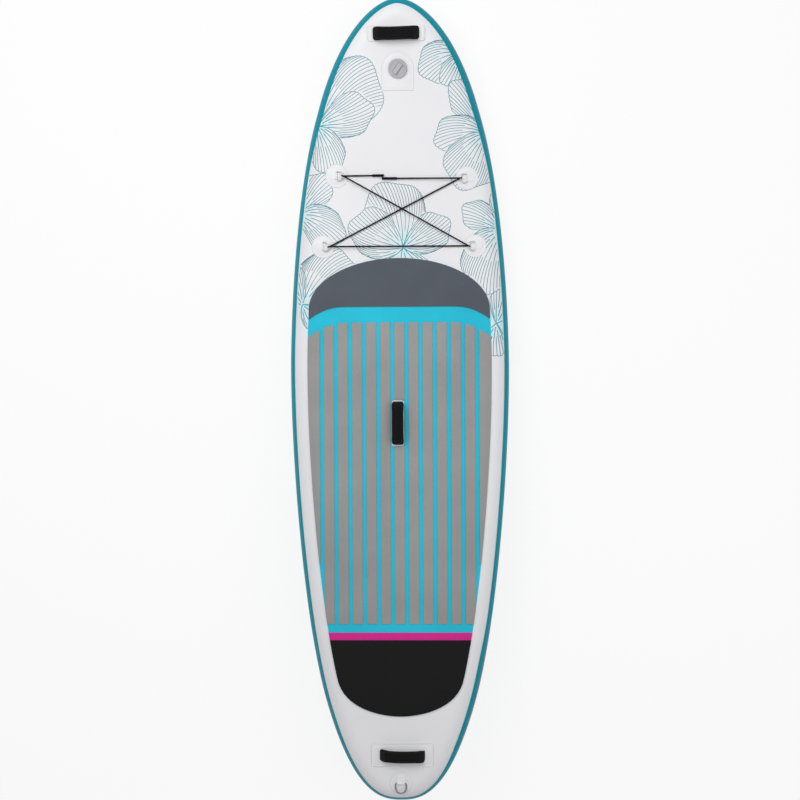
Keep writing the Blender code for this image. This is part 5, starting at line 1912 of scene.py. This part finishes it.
def fin_screw(place, height):
    """Pan-head screw with a slot and the crests of its thread."""
    low = -RUN - FIT - 0.0030
    head = low + 0.0030
    profile = [(0.0, low), (0.0030, low), (0.0038, low + 0.0005), (0.0042, low + 0.0014), (0.0042, head),
               (0.0017, head)]
    tip = CHANNEL_FLOOR + 0.0030 + FIT
    z = head + 0.0008
    while z < tip - 0.0008:
        profile += [(0.0017, z), (SCREW_RADIUS, z + 0.0002), (0.0017, z + 0.0004)]
        z += 0.0006
    profile += [(0.0017, tip - 0.0004), (0.0013, tip), (0.0, tip)]
    screw = lathe("fin_thumb_screw", profile, 40)
    cut(screw, block("groove", (0.02, 0.0012, 0.0024), (0, 0, low)))
    put(screw, Matrix.Translation((0, place, height)))
    settle(smooth(screw), "screw", "steel", "fin_screw")


def fin_box(s):
    """Fin box: a bonded flange, a tapered body with a slot, its side channel and the entry."""
    top, low = -FIT, -s.box_height
    steps = ((0.0, top), (0.0, top - 0.0016), (0.0004, top - 0.0022), (0.0012, top - 0.0025))
    width, length, corner = BOX_FLANGE
    levels = [(rounded(width - 2 * t, length - 2 * t, corner - t, 16), z) for t, z in steps]
    flange = stacked("fin_box_with_slot", levels, s.place)
    steps = ((0.044, 0.272, 0.018, top - 0.0012), (0.0415, 0.2688, 0.0172, top - 0.0050),
             (0.0312, 0.2512, 0.0126, low + 0.0022), (0.0300, 0.2500, 0.0120, low + 0.0009),
             (0.0282, 0.2482, 0.0112, low))
    body = stacked("body", [(rounded(*plan, 12), z) for *plan, z in steps], s.place)
    cut(flange, body, "UNION")
    slot = (SLOT_WIDTH, SLOT_LENGTH, 0.0295), low + 0.00475
    channel = (0.0150, SLOT_LENGTH, CHANNEL_HEIGHT), low + CHANNEL_FLOOR + CHANNEL_HEIGHT / 2
    entry = (0.0150, 0.014, 0.0180), low
    for sizes, z in (slot, channel, entry):
        cut(flange, block("tool", sizes, (0, s.place, z)))
    settle(smooth(flange, 32.0), "board", "fin_plastic", "fin_box")


def fin_foil(s):
    """Swept fin with a rounded tip; its root tab and lug sit in the box's slot."""
    root = -s.box_height - RUN
    sections = []
    shares = [k / 30 for k in range(28)] + [0.930, 0.950, 0.965, 0.977, 0.986, 0.993, 0.997, 1.0]
    for share in shares:
        front = s.front - FIN_SWEEP * share ** 1.7 - 0.012 * share
        rear = s.front - s.chord + 0.040 * math.sin(math.pi * share) - 0.030 * share ** 2.5
        fade = math.sqrt(1 - (max(share - TIP_START, 0.0) / 0.0705) ** 2)
        chord = max(front - rear, 0.016) * fade
        thick = FIN_THICK * (1 - 0.72 * share) * fade ** 0.5
        loop = []
        for n in range(56):
            angle = 2 * math.pi * n / 56
            along = (1 + math.cos(angle)) / 2
            swell = math.sin(angle) * (0.55 + 0.45 * along)
            loop.append(Vector((thick / 2 * swell, rear + chord * along, root - share * s.depth)))
        sections.append(loop)
    fin = carried("fin_foil", sections)
    front, rear = s.front - 0.020, s.front - s.chord + 0.004
    low, width = -s.box_height - RUN, SLOT_WIDTH - 2 * RUN
    tab = block("tab", (width, front - rear, 0.0190), (0, (front + rear) / 2, low + 0.0075))
    lug = block("lug", (width, 0.036, 0.0060), (0, s.front - 0.0060, low + 0.0030))
    cut(fin, tab, "UNION")
    cut(fin, lug, "UNION")
    pin_y, screw_y, pin_z = fin_holds(s)
    cut(fin, drum("hole", PIN_RADIUS + FIT, 0.03, (0, pin_y, pin_z), (0, math.pi / 2, 0)))
    cut(fin, drum("hole", SCREW_RADIUS + FIT, 0.03, (0, screw_y, 0.002 - s.box_height)))
    settle(smooth(fin, 30.0), "centre_fin", "fin_plastic", "fin")


class BOARD_OT_fin(Operator):
    """Models the fin box on the belly, the fin and what holds it"""
    bl_idname = "paddle_board.fin"
    bl_label = "Fin"

    def execute(self, context):
        s = settings().fin
        fin_box(s)
        fin_foil(s)
        pin_y, screw_y, pin_z = fin_holds(s)
        pin = [(0.0, -0.0070), (PIN_RADIUS, -0.0070), (PIN_RADIUS, 0.0070), (0.0, 0.0070)]
        pin = turned("fin_cross_pin", pin, 0.0004, steps=32)
        put(pin, Matrix.Translation((0, pin_y, pin_z)) @ Matrix.Rotation(math.pi / 2, 4, "Y"))
        settle(smooth(pin), "centre_fin", "steel", "fin_pin")
        floor = CHANNEL_FLOOR - s.box_height
        plate = block("fin_screw_plate", (0.0138, 0.0120, 0.0030), (0, screw_y, floor + FIT + 0.0015))
        apply(plate, "BEVEL", width=0.0004, segments=2, limit_method="ANGLE")
        cut(plate, drum("thread_hole", SCREW_RADIUS + FIT, 0.02, (0, screw_y, floor)))
        settle(smooth(plate), "centre_fin", "brass", "fin_plate")
        fin_screw(screw_y, -s.box_height)
        return {"FINISHED"}


class BOARD_OT_inner_finishes(Operator):
    """Gives the CAD nodes that stay their finishes"""
    bl_idname = "paddle_board.inner_finishes"
    bl_label = "Inner finishes"

    def execute(self, context):
        for node, name in (("drop_stitch_core", "drop_stitch"), ("valve_nut", "grey_plastic"),
                           ("valve_seal", "black_rubber")):
            piece = bpy.data.objects[node]
            for slot in piece.material_slots:
                slot.material = finish(name)
        return {"FINISHED"}


WHITE = (1.0, 1.0, 1.0, 1.0)
FLOOR_GLOW = 0.84
SKY_STRENGTH = 0.42
# Lamps: place, width and power
LAMPS = {
    "key_light": ((-1.0, 1.9, 3.1), 2.4, 62.0),
    "fill_light": ((2.2, 0.4, 3.6), 3.6, 34.0),
    "tail_light": ((-0.4, -3.6, 2.8), 3.0, 2.5),
}


def floor_finish():
    """Pale floor: a matt paint that keeps the shadow, near white where the camera sees it."""
    n = Finish("studio_floor", (0.93, 0.93, 0.93), 0.9, Specular_IOR_Level=0.1)
    place = n.add("ShaderNodeTexCoord").outputs["Object"]
    n.paint(n.blend(n.noise(place, 3.0), (0.925, 0.925, 0.925), (0.935, 0.935, 0.935)))
    n.relief(n.noise(place, 90.0, 3.0), 0.0002, 0.2)
    glow = n.add("ShaderNodeEmission", {"Color": WHITE, "Strength": 1.0})
    share = n.times(n.seen(), FLOOR_GLOW)
    n.show(n.shader.outputs["BSDF"], glow.outputs["Emission"], share, "Material Output")
    return n.material


def add_lamp(name, place, width, power):
    """A large soft lamp aimed at the board's middle."""
    lamp = added(name, bpy.ops.object.light_add, type="AREA", location=place)
    lamp.data.shape = "DISK"
    lamp.data.size = width
    lamp.data.energy = power
    aim = Vector((0, 0, 0.15)) - Vector(place)
    lamp.rotation_euler = aim.to_track_quat("-Z", "Y").to_euler()


def set_world(context):
    """Even light from all round, white where it is seen."""
    context.scene.world = bpy.data.worlds.new("studio")
    n = Nodes(context.scene.world)
    back = n.tree.nodes["Background"]
    n.link(WHITE, back.inputs["Color"])
    n.link(SKY_STRENGTH, back.inputs["Strength"])
    white = n.add("ShaderNodeBackground", {"Color": WHITE})
    n.show(back.outputs["Background"], white.outputs["Background"], n.seen(), "World Output")


def add_camera(context, s):
    """The photograph's view: straight down on the tilted deck, a little from the right."""
    middle = settings().hull.thickness / 2
    place = Vector((s.aside, s.along, middle + s.distance))
    aim = Vector((0.0, s.aim, middle))
    back = (place - aim).normalized()
    right = Vector((0, 1, 0)).cross(back).normalized()
    turn = Matrix((right, back.cross(right), back)).transposed().to_4x4()
    camera = added("photo_camera", bpy.ops.object.camera_add)
    camera.data.sensor_width = 36.0
    camera.data.lens = s.lens
    roll = Matrix.Rotation(math.radians(s.roll), 4, "Z")
    camera.matrix_world = BOARD @ Matrix.Translation(place) @ turn @ roll
    context.scene.camera = camera


class BOARD_OT_stage(Operator):
    """Sets the floor, the studio light and the camera"""
    bl_idname = "paddle_board.stage"
    bl_label = "Stage"

    def execute(self, context):
        s = settings().stage
        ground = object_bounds()[0][2] - 0.0005
        floor = added("floor", bpy.ops.mesh.primitive_grid_add, x_subdivisions=24, y_subdivisions=24,
                      size=16.0, location=(0, 0, ground))
        put(floor)
        floor.data.materials.append(floor_finish())
        floor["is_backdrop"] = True
        for name, (place, width, power) in LAMPS.items():
            add_lamp(name, place, width, power)
        set_world(context)
        add_camera(context, s)
        context.scene.view_settings.view_transform = "Standard"
        return {"FINISHED"}


OPERATORS = (
    BOARD_OT_deck_skin, BOARD_OT_rail, BOARD_OT_deck_print, BOARD_OT_pad, BOARD_OT_carry_handles,
    BOARD_OT_lashing_rings, BOARD_OT_leash_ring, BOARD_OT_bungee, BOARD_OT_inflation_valve,
    BOARD_OT_fin, BOARD_OT_inner_finishes, BOARD_OT_stage,
)


class BOARD_PT_panel(Panel):
    """Lists the board's pieces in the sidebar"""
    bl_idname = "BOARD_PT_panel"
    bl_label = "Paddle board"
    bl_space_type = "VIEW_3D"
    bl_region_type = "UI"
    bl_category = "Board"

    def draw(self, context):
        column = self.layout.column(align=True)
        for operator in OPERATORS:
            column.operator(operator.bl_idname)
        groups = context.scene.paddle_board
        for name in BoardSettings.__annotations__:
            box = self.layout.box()
            box.label(text=name.replace("_", " ").capitalize())
            group = getattr(groups, name)
            for key in type(group).__annotations__:
                box.prop(group, key)


GROUPS = (HullSizes, PadSizes, HandleSizes, LashingSizes, ValveSizes, FinSizes, PrintSizes, Colours,
          StageSizes, BoardSettings)


def register():
    """Registers the settings, the operators and the panel."""
    for made in GROUPS + OPERATORS + (BOARD_PT_panel,):
        bpy.utils.register_class(made)
    bpy.types.Scene.paddle_board = PointerProperty(type=BoardSettings)


def unregister():
    """Takes them away again."""
    del bpy.types.Scene.paddle_board
    for made in reversed(GROUPS + OPERATORS + (BOARD_PT_panel,)):
        bpy.utils.unregister_class(made)


def main():
    """Makes every piece in order."""
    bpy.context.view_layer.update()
    register()
    for operator in OPERATORS:
        group, name = operator.bl_idname.split(".")
        getattr(getattr(bpy.ops, group), name)()


if __name__ == "__main__":
    main()
